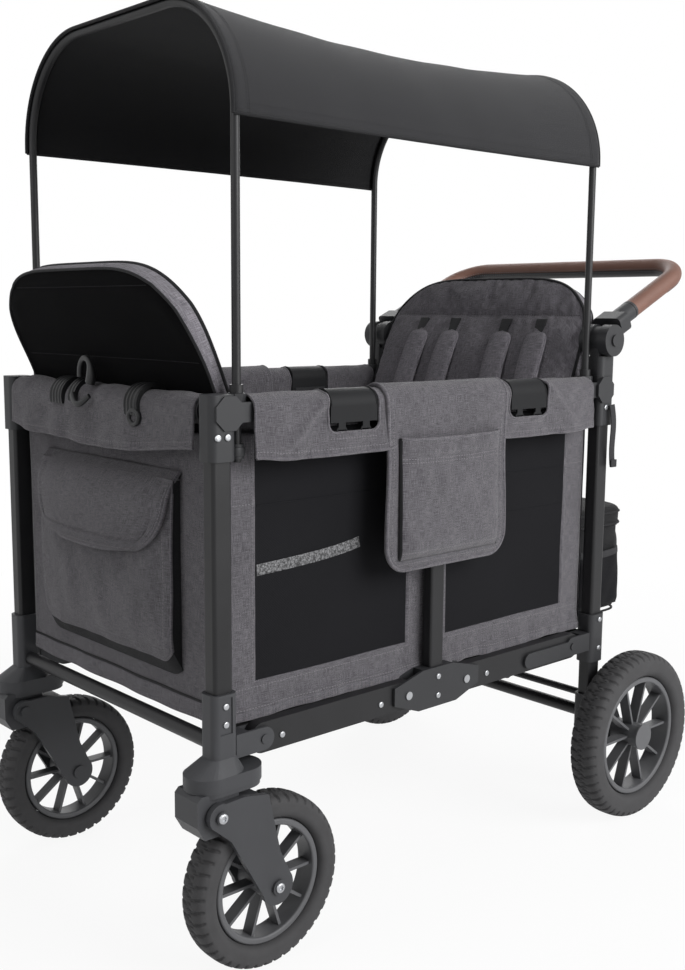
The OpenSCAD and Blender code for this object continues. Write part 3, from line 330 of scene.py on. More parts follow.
def coat_finish(name, colour):
    """Powder coat: a satin skin with fine orange peel and a little dust."""
    f = Finish(name)
    place = f.places("Object")
    peel = f.noise(place, 900.0, 2.0)
    dust = f.noise(place, 24.0, 5.0, 0.6)
    return f.set(Base_Color=f.mix(dust, scaled(colour, 0.8), scaled(colour, 1.35)),
                 Roughness=0.33 + dust * 0.2, Normal=f.bump(peel, 0.00012, 0.6), Specular_IOR_Level=0.3)


def moulded_finish(name, colour, grain, rough, gleam):
    """Moulded plastic: pebbled spark grain, slow tone changes and scuffs that dull it."""
    f = Finish(name)
    place = f.places("Object")
    pebble = f.cells(place, grain, "SMOOTH_F1")
    slow = f.noise(place, 18.0, 4.0)
    scuff = (f.noise(f.stretch(place, (60, 60, 14)), 1.0, 6.0, 0.7) * 3.0 - 1.75).kept()
    return f.set(Base_Color=f.mix(slow, scaled(colour, 0.85), f.mix(scuff, scaled(colour, 1.12), scaled(colour, 1.7))),
                 Roughness=rough + slow * 0.12 - scuff * 0.06, Normal=f.bump(pebble, 0.00018, 0.5),
                 Specular_IOR_Level=gleam)


def steel_finish(name, colour):
    """Turned steel: fine rings of grain and a duller film in places."""
    f = Finish(name)
    place = f.places("Object")
    grain = f.noise(f.stretch(place, (2400, 300, 2400)), 1.0, 2.0)
    film = f.noise(place, 90.0, 4.0)
    return f.set(Base_Color=f.mix(film, scaled(colour, 0.62), colour), Metallic=1.0,
                 Roughness=0.22 + film * 0.2, Normal=f.bump(grain, 0.00006, 0.5))


def leather_finish(name, colour):
    """Wrapped leather: pebbled grain with darker creases and a handled sheen."""
    f = Finish(name)
    place = f.places("Object")
    pebble = f.cells(place, 620.0, "DISTANCE_TO_EDGE")
    crease = (pebble * 7.0).kept()
    cloud = f.noise(place, 22.0, 5.0, 0.6)
    tone = (cloud * 0.9 + crease * 0.25 - 0.1).kept()
    return f.set(Base_Color=f.mix(tone, scaled(colour, 0.62), scaled(colour, 1.25)), Roughness=0.62 - tone * 0.16,
                 Normal=f.bump(crease * 0.6 + cloud * 0.4, 0.0003, 0.55))


def rubber_finish(name, colour):
    """Tyre rubber: matt black with dusty lights and a fine skin."""
    f = Finish(name)
    place = f.places("Object")
    dust = f.noise(place, 40.0, 6.0, 0.65)
    skin = f.noise(place, 1500.0)
    return f.set(Base_Color=f.mix(dust, scaled(colour, 0.65), scaled(colour, 1.6)), Roughness=0.68 + dust * 0.2,
                 Normal=f.bump(skin, 0.0002, 0.5), Specular_IOR_Level=0.35)


def make_finishes(scene):
    """Every finish, by the name that the pieces use."""
    c = scene.wagon_colours
    # The seat cloth, pad cloth and pad hem are the grey heather painted two to three times lighter: painted light,
    # standing in for the light that reaches the seats under the canopy.
    for name, dark, light in (("grey_cloth", 1, 1), ("grey_hem", 1.25, 1.2), ("seat_cloth_lit", 2.15, 2.0),
                              ("pad_cloth", 2.9, 2.6), ("pad_hem", 3.0, 2.7)):
        heather_finish(name, scaled(c.heather_dark, dark), scaled(c.heather_light, light))
    plain_cloth_finish("canopy_cloth", c.canopy, 0.0011, 0.12, 0.1)
    plain_cloth_finish("black_cloth", c.lining, 0.0012, 0.05)
    # Near-black gusset cloth: the front pocket's side gussets are black, and on its foot gusset, which is grey cloth,
    # the dark is painted shade.
    plain_cloth_finish("gusset_cloth_and_shade", scaled(c.lining, 1.7), 0.0012, 0.05)
    # The seat black is the black lining painted darker: painted shade on the seat backs' black rears.
    plain_cloth_finish("seat_black_shaded", scaled(c.lining, 0.4), 0.0012, 0.0, 0.0, 0.05)
    net_finish("mesh_cloth", c.net)
    band_finish("speckled_elastic", scaled(c.net, 0.5), (0.30, 0.30, 0.31))
    ribbed_finish("webbing", c.webbing, 0.0022)
    plain_cloth_finish("piping_cloth", c.webbing, 0.0009, 0.15)
    coat_finish("frame_tube", c.tube)
    # The caster plastic is the bracket plastic painted lighter: painted light on the casters and lower brackets.
    for name, share, rough, gleam in (("bracket_plastic", 1, 0.44, 0.3), ("caster_plastic_lit", 1.75, 0.44, 0.3),
                                      # The hanger plastic is the bracket plastic painted darker: painted shade on the
                                      # hangers.
                                      ("hanger_plastic_shaded", 0.5, 0.46, 0.12), ("clip_plastic", 0.4, 0.4, 0.3)):
        moulded_finish(name, scaled(c.plastic, share), 1700.0, rough, gleam)
    moulded_finish("rim_plastic", c.rim, 1300.0, 0.4, 0.3)
    steel_finish("rivet_steel", c.steel)
    leather_finish("grip_leather", c.leather)
    leather_finish("grip_strip", scaled(c.webbing, 1.1))
    rubber_finish("tyre_rubber", c.rubber)
    ribbed_finish("thread", c.thread, 0.0012)


# Shapes


def smooth(t):
    """0 before 0, 1 after 1, and a smooth rise between."""
    t = np.clip(t, 0.0, 1.0)
    return t * t * (3 - 2 * t)


def bell(t, width):
    """1 at 0, falling off to each side within about the width."""
    return np.exp(-(np.asarray(t, float) / width) ** 2)


def full(t):
    """1 in the middle, 0 at -1 and 1, with full shoulders."""
    return np.clip(1 - np.asarray(t, float) ** 4, 0, 1)


def folds(a, b, seed, size, waves=7):
    """Cloth's unevenness: the mean of sine waves about one size long, in seeded directions over (a, b)."""
    rng = np.random.default_rng(seed)
    turn, phase = rng.uniform(0, np.pi, waves), rng.uniform(0, 2 * np.pi, waves)
    pace = 2 * np.pi / (size * rng.uniform(0.6, 1.8, waves))
    a, b = np.broadcast_arrays(np.asarray(a, float), np.asarray(b, float))
    return 1.7 * np.sin((a[..., None] * np.cos(turn) + b[..., None] * np.sin(turn)) * pace + phase).mean(-1)


def mesh_grid(a, b):
    return np.meshgrid(np.asarray(a, float), np.asarray(b, float), indexing="ij")


def points(x, y, z):
    return np.stack(np.broadcast_arrays(x, y, z), -1).astype(float)


def grid_lines(stops, counts):
    """Places through the stops, evenly spaced by count from each stop to the next."""
    return np.unique(np.concatenate([np.linspace(*row) for row in zip(stops, stops[1:], counts)]))


def middles(grid):
    """The middles of a grid's cells."""
    return (grid[1:, 1:] + grid[:-1, :-1]) / 2


def unit(v):
    return v / np.maximum(np.linalg.norm(v, axis=-1, keepdims=True), 1e-9)


def ring(radius, count=8):
    """A round section, counterclockwise."""
    turn = np.linspace(0, 2 * np.pi, count, endpoint=False)
    return radius * np.stack([np.cos(turn), np.sin(turn)], -1)


def bar(wide, thick, count=16, square=0.45):
    """A flat section with rounded corners: a superellipse, counterclockwise."""
    c, s = ring(1.0, count).T
    return np.stack([wide / 2 * np.sign(c) * np.abs(c) ** square, thick / 2 * np.sign(s) * np.abs(s) ** square], -1)


def sweep(path, section, up, closed=False, grow=None):
    """A section carried along a path: point = path + side * s + normal * n, with the side square to up."""
    path = np.asarray(path, float)
    ahead = np.roll(path, -1, 0) - np.roll(path, 1, 0) if closed else np.gradient(path, axis=0)
    ahead = unit(ahead)
    side = unit(np.cross(ahead, np.broadcast_to(np.asarray(up, float), path.shape)))
    normal = np.cross(side, ahead)
    grow = np.ones(len(path)) if grow is None else np.asarray(grow, float)
    flat = section[None] * grow[:, None, None]
    return path[:, None] + side[:, None] * flat[..., :1] + normal[:, None] * flat[..., 1:]


def evenly(path, pitch, up):
    """Points, directions and normals along a path at equal spacing."""
    path = np.asarray(path, float)
    run = np.concatenate([[0], np.cumsum(np.linalg.norm(np.diff(path, axis=0), axis=1))])
    at = np.arange(pitch / 2, run[-1], pitch)
    up = np.broadcast_to(np.asarray(up, float), path.shape)

    def between(values, where):
        return np.stack([np.interp(where, run, column) for column in values.T], -1)

    ahead = unit(between(path, at + pitch / 4) - between(path, at - pitch / 4))
    return between(path, at), ahead, unit(between(up, at))


def spread(grid, wrap):
    """Texture places in metres: the mean lengths run along the grid's rows and columns."""
    rows = np.concatenate([grid, grid[:1]]) if wrap[0] else grid
    columns = np.concatenate([grid, grid[:, :1]], 1) if wrap[1] else grid
    u = np.linalg.norm(np.diff(rows, axis=0), axis=-1).mean(1)
    v = np.linalg.norm(np.diff(columns, axis=1), axis=-1).mean(0)
    return np.stack(mesh_grid(np.concatenate([[0], np.cumsum(u)]), np.concatenate([[0], np.cumsum(v)])), -1) * MM


def corners(grid):
    """The four corners of each cell of a grid, in order round the cell."""
    four = np.stack([grid[:-1, :-1], grid[1:, :-1], grid[1:, 1:], grid[:-1, 1:]], 2)
    return four.reshape(-1, 4, *grid.shape[2:])


class Shape:
    """Grids of points gathered into one mesh."""

    def __init__(self):
        self.points, self.faces, self.uvs, self.slots, self.count = [], [], [], [], 0

    def grid(self, grid, wrap=(False, False), slot=0, keep=None, caps=False):
        """Quads between the neighbours in grid[i, j], joined round where wrap says, with flat ends where caps says."""
        grid = np.asarray(grid, float)
        n, m = grid.shape[:2]
        at = np.arange(n * m).reshape(n, m) + self.count
        uv = spread(grid, wrap)
        closed = np.concatenate([at, at[:1]]) if wrap[0] else at
        closed = np.concatenate([closed, closed[:, :1]], 1) if wrap[1] else closed
        quads, texture = corners(closed), corners(uv)
        slots = np.broadcast_to(slot, (closed.shape[0] - 1, closed.shape[1] - 1)).ravel()
        if keep is not None:
            quads, texture, slots = quads[keep.ravel()], texture[keep.ravel()], slots[keep.ravel()]
        self.points.append(grid.reshape(-1, 3))
        self.faces += quads.tolist()
        self.uvs.append(texture.reshape(-1, 2))
        self.slots.append(slots)
        if caps:
            self.faces += [at[0].tolist(), at[-1][::-1].tolist()]
            self.uvs.append(np.concatenate([uv[0, :m], uv[-1, :m][::-1]]))
            self.slots.append(np.full(2, int(np.max(slot))))
        self.count += n * m
        return self

    def tube(self, path, section, up, closed=False, slot=0, grow=None):
        """A section carried along a path, closed at its ends or round."""
        return self.grid(sweep(path, section, up, closed, grow), (closed, True), slot, caps=not closed)

    def stitches(self, path, up, length, pitch, slot, thick):
        """A row of stitches: on each, a thread that swells from nothing to its middle and back."""
        place, ahead, normal = evenly(path, pitch, up)
        side = np.cross(ahead, normal)
        run = np.array([-0.5, -0.3, 0.0, 0.3, 0.5]) * length
        swell = np.array([0.0, 0.8, 1.0, 0.8, 0.0]) * thick
        turn = ring(1.0, 5)
        rows = (place[:, None, None] + ahead[:, None, None] * run[None, :, None, None]
                + (side[:, None, None] * turn[None, None, :, :1] + normal[:, None, None] * turn[None, None, :, 1:])
                * swell[None, :, None, None])
        grid = rows.reshape(-1, len(turn), 3)
        keep = np.ones((len(grid) - 1, len(turn)), bool)
        keep[len(run) - 1::len(run)] = False
        return self.grid(grid, (False, True), slot, keep)

    def sew(self, path, up, thick=0.55):
        """A row of stitches in the second finish, at the thread's own length and pitch."""
        sizes = bpy.context.scene.wagon_sizes
        return self.stitches(path, up, sizes.stitch / MM, sizes.stitch_pitch / MM, 1, thick)

    def build(self, name, body, finishes, slot, weld=False, outward=False, sharp=50):
        """The mesh as a piece on a body; weld joins doubled points, outward turns a closed form's faces out."""
        mesh = bpy.data.meshes.new(name)
        mesh.from_pydata((np.concatenate(self.points) * MM + (MIDDLE, 0, 0)).tolist(), [], self.faces)
        mesh.uv_layers.new(name="lengths").data.foreach_set("uv", np.concatenate(self.uvs).astype(np.float32).ravel())
        mesh.polygons.foreach_set("material_index", np.concatenate(self.slots).astype(np.int32))
        if weld or outward:
            form = bmesh.new()
            form.from_mesh(mesh)
            bmesh.ops.remove_doubles(form, verts=form.verts, dist=0.02 * MM)
            if outward:
                bmesh.ops.recalc_face_normals(form, faces=form.faces)
            form.to_mesh(mesh)
            form.free()
        for finish in finishes:
            mesh.materials.append(Finish.made[finish])
        mesh.shade_smooth()
        mesh.set_sharp_from_angle(angle=math.radians(sharp))
        piece = bpy.data.objects.new(name, mesh)
        bpy.context.scene.collection.objects.link(piece)
        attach(piece, body)
        return piece


def cloth(name, grid, body, finishes, slot, thick, held, rests_on, faces=0, keep=None, lined=False):
    """A sheet cut from a grid and given its thickness; the cut's sides are the grid's mean lengths."""
    piece = Shape().grid(grid, slot=faces, keep=keep).build(name, body, finishes, slot)
    wall = piece.modifiers.new("thickness", "SOLIDIFY")
    wall.thickness, wall.offset = thick * MM, 0.0
    wall.material_offset = 1 if lined else 0
    four = corners(grid)
    cells = np.linalg.norm(np.cross(four[:, 2] - four[:, 0], four[:, 3] - four[:, 1]), axis=1) / 2
    area = (cells if keep is None else cells[keep.ravel()]).sum() * MM * MM
    return piece


def rim_of(grid):
    """The outer loop of a grid's points, once round."""
    return np.concatenate([grid[0], grid[1:, -1], grid[-1, -2::-1], grid[-2:0:-1, 0]])


def cushion(name, face, back, body, finishes, slot, bulge, rows=7):
    """A closed pad: a crowned face and back joined by a side band that swells outwards in its middle."""
    first, last = rim_of(face), rim_of(back)
    middle = (first + last) / 2
    out = unit(middle - middle.mean(0))
    t = np.linspace(0, 1, rows)[None, :, None]
    band = first[:, None] * (1 - t) + last[:, None] * t + out[:, None] * bulge * np.sin(np.pi * t)
    shape = Shape().grid(face).grid(back, slot=1).grid(band, (True, False))
    piece = shape.build(name, body, finishes, slot, outward=True)
    return piece


def stuffed(piece, held, ease, push, cap):
    """A pad's filling as simulated cloth: free points swell under the push from within while held ones stay. The cloth
    is larger than its outline by the ease, so it puckers at its seams; no point moves further than the cap, in
    metres."""
    scene, mesh = bpy.context.scene, piece.data
    rest = np.empty(len(mesh.vertices) * 3, np.float32)
    mesh.vertices.foreach_get("co", rest)
    rest = rest.reshape(-1, 3)
    group = piece.vertex_groups.new(name="held")
    group.add(np.flatnonzero(held((rest - (MIDDLE, 0, 0)) / MM)).tolist(), 1.0, "REPLACE")
    fill = piece.modifiers.new("filling", "CLOTH")
    rules = fill.settings
    rules.quality, rules.mass, rules.air_damping = 6, 0.3, 4.0
    rules.tension_stiffness, rules.compression_stiffness, rules.shear_stiffness = 12.0, 12.0, 4.0
    rules.bending_stiffness, rules.shrink_min = 0.4, -ease
    rules.use_pressure, rules.uniform_pressure_force = True, push
    rules.vertex_group_mass, rules.effector_weights.gravity = group.name, 0.0
    fill.point_cache.frame_start, fill.point_cache.frame_end = 1, FILL_STEPS
    for number in range(1, FILL_STEPS + 1):
        scene.frame_set(number)
    shaped = piece.evaluated_get(bpy.context.evaluated_depsgraph_get())
    moved = np.empty(rest.size, np.float32)
    shaped.data.vertices.foreach_get("co", moved)
    step = moved.reshape(-1, 3) - rest
    far = np.linalg.norm(step, axis=1, keepdims=True)
    piece.modifiers.remove(fill)
    piece.vertex_groups.remove(group)
    scene.frame_set(1)
    mesh.vertices.foreach_set("co", (rest + step * np.minimum(1, cap / np.maximum(far, 1e-9))).ravel())
    mesh.update()


def shrink_with_fold(piece):
    """Gives the piece its own copy of its mesh."""
    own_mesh(piece)


# Canopy


def canopy_at(x, s, sizes, lift=0.0):
    """The cover at length s round its section: side, quarter bend, flat top, bend, side. Between the hoops it sags and
    its sides draw in by a parabola of x; over each hoop it stands up, and the doubled hem is a little proud."""
    side, bend, top = 6.0, HOOP_R * np.pi / 2, 2 * HOOP_FLAT
    first = np.clip((s - side) / HOOP_R, 0, np.pi / 2)
    flat = np.clip(s - side - bend, 0, top)
    second = np.clip((s - side - bend - top) / HOOP_R, 0, np.pi / 2)
    past = np.maximum(s - side - 2 * bend - top, 0)
    turn = first + second
    slack = np.clip(1 - (x / POLE_X) ** 2, 0, 1)
    total = 2 * side + 2 * bend + top
    hem = 1 - smooth((np.minimum(s, total - s) - 15) / 2)
    off = (lift + bell(np.abs(x) - POLE_X, 7) - 0.8 * smooth((np.abs(x) - 347) / 5) + 0.8 * hem * slack ** 0.2
           + 0.9 * folds(x, s, 11, 120) * slack)
    y = -HOOP_FLAT - HOOP_R * np.cos(first) + flat + HOOP_R * np.sin(second)
    z = HEM_Z + np.minimum(s, side) + HOOP_R * np.sin(first) - HOOP_R * (1 - np.cos(second)) - past
    y = y + (sizes.canopy_pull / MM) * slack * np.cos(turn)
    z = z - (sizes.canopy_sag / MM) * slack * np.sin(turn)
    return points(x, y - off * np.cos(turn), z + off * np.sin(turn))


CANOPY_HALF = 352.0
CANOPY_RUN = 12.0 + HOOP_R * math.pi + 2 * HOOP_FLAT


class WAGON_OT_canopy(bpy.types.Operator):
    """Stretches one sheet over the two hoops, with hoop sleeves, piped rims and stitched hems"""

    bl_idname = "wagon.canopy"
    bl_label = "Canopy"

    def execute(self, context):
        sizes = context.scene.wagon_sizes
        x, s = mesh_grid(np.linspace(-CANOPY_HALF, CANOPY_HALF, 121), np.linspace(0, CANOPY_RUN, 97))
        cover = cloth("canopy_cover", canopy_at(x, s, sizes), "rear_hoop", ["canopy_cloth", "black_cloth"],
                      "black_cloth", 2.4, "stretched", ["front_hoop", "rear_hoop"], lined=True)
        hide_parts("canopy")
        trim = Shape()
        run = np.linspace(0, CANOPY_RUN, 97)
        for _, end in ENDS:
            trim.tube(canopy_at(CANOPY_HALF * end, run, sizes), ring(2.4), (end, 0, 0))
            for inset in (329.0, 332.5):
                seam = canopy_at(inset * end, run, sizes, 1.3)
                trim.sew(seam, canopy_at(inset * end, run, sizes, 3.3) - seam, 0.4)
        x = np.linspace(1 - CANOPY_HALF, CANOPY_HALF - 1, 121)
        for start, inward in ((0.0, 1.0), (CANOPY_RUN, -1.0)):
            trim.tube(canopy_at(x, start, sizes), ring(1.9), (0, inward, 0))
            trim.sew(canopy_at(x, start + 13.5 * inward, sizes, 1.3), (0, -inward, 0), 0.4)
        piece = trim.build("canopy_trim", "rear_hoop", ["piping_cloth", "canopy_cloth"], "black_cloth", weld=True)
        for soft in (cover, piece):
            shrink_with_fold(soft)
        return {"FINISHED"}


# Sleeves over the rails


def over_rail(w, skirt, lift, radius=SLEEVE_R):
    """Cloth over a rail at length w from its outer hem: up the skirt, half round, down the inner side.
    Gives the offsets outwards and upwards from the rail's centre line, lifted off along the normal."""
    turn = np.clip((w - skirt) / radius, 0, np.pi)
    down = np.maximum(w - skirt - np.pi * radius, 0)
    return ((radius + lift) * np.cos(turn),
            np.minimum(w - skirt, 0) + (radius + lift) * np.sin(turn) - down)


RAIL_RUN = SKIRT + math.pi * SLEEVE_R + SLEEVE_INNER


def rail_sleeve_at(along, w, side, end, seed, lift=0.0):
    """A long rail's sleeve at distance along from the wagon's middle: loose folds grow towards the hem, drag lines
    and slanted creases run from the window's outer corner, and the hem rises at both ends."""
    drop = 1 - smooth(w / SKIRT)
    rise = 9.0 * drop * (bell(along - 329.5, 26) * 0.5 + bell(along - 78, 30))
    drag = bell((along - 268) + (w - 30) * 1.1, 9) * smooth((w - 8) / 20) * (1 - smooth((w - 70) / 30))
    crease = folds(along * 0.9 + w * 0.8, w * 0.25, seed + 5, 34) * bell(along - 246, 38) * (1 - smooth((w - 48) / 24))
    loose = (1.7 * folds(along, w * 1.6, seed, 62) + 2.8 * drop * (1 + folds(along, 0 * w, seed + 1, 75)) + 3.8 * drag
             + 2.6 * crease)
    off = lift + np.maximum(loose, -0.5)
    across, up = over_rail(w, SKIRT, off)
    return points(end * along, side * (LEG_Y + across), ARCH_Z + up + rise)


def end_sleeve_at(y, w, end, seed, lift=0.0):
    """An end rail's sleeve: the hem hangs lowest in the middle in shallow scallops, with upright gathers above it."""
    skirt = 43 + 13.5 * (1 - (y / END_HALF) ** 2) + 3.0 * folds(y, 0 * y, seed, 150)
    fade = 1 - smooth((np.abs(y) - 175) / 55)
    drag = folds(y * 0.8 + w * 0.9, w * 0.25, seed + 4, 80) * smooth(w / 14) * (1 - smooth((w - 85) / 40))
    loose = (1.5 * folds(y * 1.7, w * 0.6, seed + 2, 80) + 4.8 * drag * fade
             + (6.5 + 3.5 * folds(y, 0 * y, seed + 3, 75)) * (1 - smooth(w / 52)) * fade)
    off = lift + np.maximum(loose, -0.5)
    across, up = over_rail(w * (skirt + 88.2) / 149.7, skirt, off)
    return points(end * (LEG_X + across), y, ARCH_Z + up)


MIDDLE_R, MIDDLE_HALF = 22.8, 86.0
MIDDLE_RUN = SKIRT + math.pi * MIDDLE_R + SLEEVE_INNER


def middle_sleeve_at(x, w, lift=0.0):
    """The right side's middle sleeve: cloth over the rail with slow waves, its hem a little out."""
    loose = 0.9 * folds(x, w * 1.4, 71, 75) + 2.4 * (1 - smooth(w / SKIRT))
    across, up = over_rail(w, SKIRT, lift + np.maximum(loose, -0.3), MIDDLE_R)
    return points(x, LEG_Y + across, ARCH_Z + up)


class WAGON_OT_sleeves(bpy.types.Operator):
    """Draws the padded cloth sleeves over the long rails and the end rails, with bound hems"""

    bl_idname = "wagon.sleeves"
    bl_label = "Rail sleeves"

    def execute(self, context):
        sizes = context.scene.wagon_sizes
        bind, thick = sizes.binding / MM, sizes.cloth / MM
        seed = 20
        for end_name, end in ENDS:
            for side_name, side in SIDES:
                seed += 7
                self.rail(end_name, end, side_name, side, seed, bind, thick)
            self.end(end_name, end, seed + 3, bind, thick)
        self.middle(bind, thick)
        return {"FINISHED"}

    def middle(self, bind, thick):
        """The short sleeve over the right rails' middle hinge, where the saddle bag lies on the left."""
        line, run = np.linspace(-MIDDLE_HALF, MIDDLE_HALF, 60), np.linspace(0, MIDDLE_RUN, 60)
        x, w = mesh_grid(line, run)
        cover = cloth("middle_sleeve_right", middle_sleeve_at(x, w), "center", ["grey_cloth"], "grey_cloth", thick,
                      "draped", ["front_top_rails", "rear_top_rails"])
        trim = Shape()
        for w_at in (0.0, MIDDLE_RUN):
            trim.tube(middle_sleeve_at(line, w_at), ring(bind), (0, 1, 0))
        for x_at in (-MIDDLE_HALF, MIDDLE_HALF):
            trim.tube(middle_sleeve_at(x_at, run), ring(bind), (1, 0, 0))
            seam = middle_sleeve_at(x_at * 0.91, run, thick / 2)
            trim.sew(seam, middle_sleeve_at(x_at * 0.91, run, thick / 2 + 2) - seam)
        piece = trim.build("middle_sleeve_trim", "center", ["grey_hem", "thread"], "grey_cloth", weld=True)
        for soft in (cover, piece):
            shrink_with_fold(soft)

    def rail(self, end_name, end, side_name, side, seed, bind, thick):
        """A long rail's sleeve: bound hems, and a bound window with round lower corners for the seat hanger."""
        body = f"{end_name}_rails"
        line, run = np.linspace(SLEEVE_FROM, SLEEVE_TO, 105), np.linspace(0, RAIL_RUN, 64)
        along, w = mesh_grid(line, run)
        mid_a, mid_w = middles(along) - HANGER_X, middles(w) - WINDOW_SILL
        corner = 14.0
        inside = (np.abs(mid_a) < WINDOW_HALF) & (mid_w > 0)
        past = (np.abs(mid_a) > WINDOW_HALF - corner) & (mid_w < corner)
        cut = np.hypot(np.abs(mid_a) - WINDOW_HALF + corner, mid_w - corner) > corner
        keep = ~(inside & ~(past & cut))

        def on(a, w_at, lift=0.0):
            return rail_sleeve_at(a, w_at, side, end, seed, lift)

        piece = cloth(f"{end_name}_rail_sleeve_{side_name}", on(along, w), body, ["grey_cloth"], "grey_cloth", thick,
                      "draped", [f"{end_name}_top_rails"], keep=keep)
        if side < 0:
            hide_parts(f"{end_name}_rail_sleeves")
        trim = Shape()
        trim.tube(on(line, 0.0), ring(bind), (0, side, 0))
        trim.tube(on(line, RAIL_RUN), ring(bind * 0.8), (0, side, 0))
        for a in (SLEEVE_FROM, SLEEVE_TO):
            trim.tube(on(a, run), ring(bind * 0.8), (1, 0, 0))
        turn = np.linspace(0, np.pi / 2, 9)
        bend_a, bend_w = corner * np.sin(turn), corner * (1 - np.cos(turn))
        wall = np.linspace(RAIL_RUN, WINDOW_SILL + corner, 44)
        inner = WINDOW_HALF - corner
        a = np.concatenate([np.full_like(wall, WINDOW_HALF), (inner + bend_a)[::-1], -(inner + bend_a),
                            np.full_like(wall, -WINDOW_HALF)]) + HANGER_X
        edge = np.concatenate([wall, WINDOW_SILL + bend_w[::-1], WINDOW_SILL + bend_w, wall[::-1]])
        path = on(a, edge, 0.3)
        trim.tube(path, ring(bind), on(a, edge, 2.3) - path)
        for w_at in (7.5, WINDOW_SILL - 7.0):
            span = line if w_at < 10 else np.linspace(HANGER_X - 40, HANGER_X + 40, 40)
            seam = on(span, w_at, thick / 2)
            trim.sew(seam, on(span, w_at, thick / 2 + 2) - seam)
        trim.build(f"{end_name}_rail_sleeve_trim_{side_name}", body, ["grey_hem", "thread"], "grey_cloth", weld=True)

    def end(self, end_name, end, seed, bind, thick):
        """An end rail's sleeve with its bound and stitched hem."""
        body = f"{end_name}_frame"
        line = np.linspace(-END_HALF, END_HALF, 151)
        y, w = mesh_grid(line, np.linspace(0, RAIL_RUN, 56))
        piece = cloth(f"{end_name}_end_sleeve_cloth", end_sleeve_at(y, w, end, seed), body, ["grey_cloth"],
                      "grey_cloth", thick, "draped", [f"{end_name}_cross_tubes"])
        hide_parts(f"{end_name}_end_sleeve")
        trim = Shape()
        for w_at, share in ((0.0, 1.0), (RAIL_RUN, 0.8)):
            trim.tube(end_sleeve_at(line, w_at, end, seed), ring(bind * share), (end, 0, 0))
        seam = end_sleeve_at(line, 8.0, end, seed, thick / 2)
        trim.sew(seam, end_sleeve_at(line, 8.0, end, seed, thick / 2 + 2) - seam)
        trim.build(f"{end_name}_end_sleeve_trim", body, ["grey_hem", "thread"], "grey_cloth", weld=True)


# Side and end panels


NET_FROM, NET_TO, NET_SILL = 40.0, 311.0, 371.5
NET_STEP = 3.0


def side_panel_at(along, z, side, end, seed, lift=0.0):
    """A side panel: the border stands proud of the net, soft puckers lie along its foot, and the foot flares out."""

    def past(value, edge):
        return smooth((value - (edge - NET_STEP / 2)) / NET_STEP)

    border = np.maximum(np.maximum(past(along, NET_TO), 1 - past(along, NET_FROM)), 1 - past(z, NET_SILL))
    foot = 1 - smooth((z - 330) / 26)
    pucker = 1 - smooth((z - 335) / 40)
    off = (lift + border * (1.6 + 0.7 * folds(along * 0.5, z, seed, 60))
           + (1 - border) * 1.2 * folds(along, z, seed + 1, 160)
           + foot * (3.6 + 2.4 * folds(along, 0 * along, seed + 2, 70))
           + 1.5 * pucker * folds(along * 1.6, z * 0.5, seed + 3, 60))
    sag = 3.5 * foot * folds(along, 0 * along, seed + 4, 120)
    return points(end * along, side * (PANEL_Y + off), z + sag)


def end_panel_at(y, z, end, seed, lift=0.0):
    """An end panel: a shallow belly between its edges with soft upright folds, its foot a little out."""
    belly = 1.5 * full(y / END_HALF) * full((z - 507) / 182)
    foot = 1 - smooth((z - 332) / 22)
    off = lift + belly + 1.1 * folds(y * 1.5, z * 0.5, seed, 90) + foot * (1.5 + 1.6 * folds(y, 0 * y, seed + 1, 90))
    return points(end * (PANEL_X + off), y, z + 2.0 * foot * folds(y, 0 * y, seed + 2, 120))


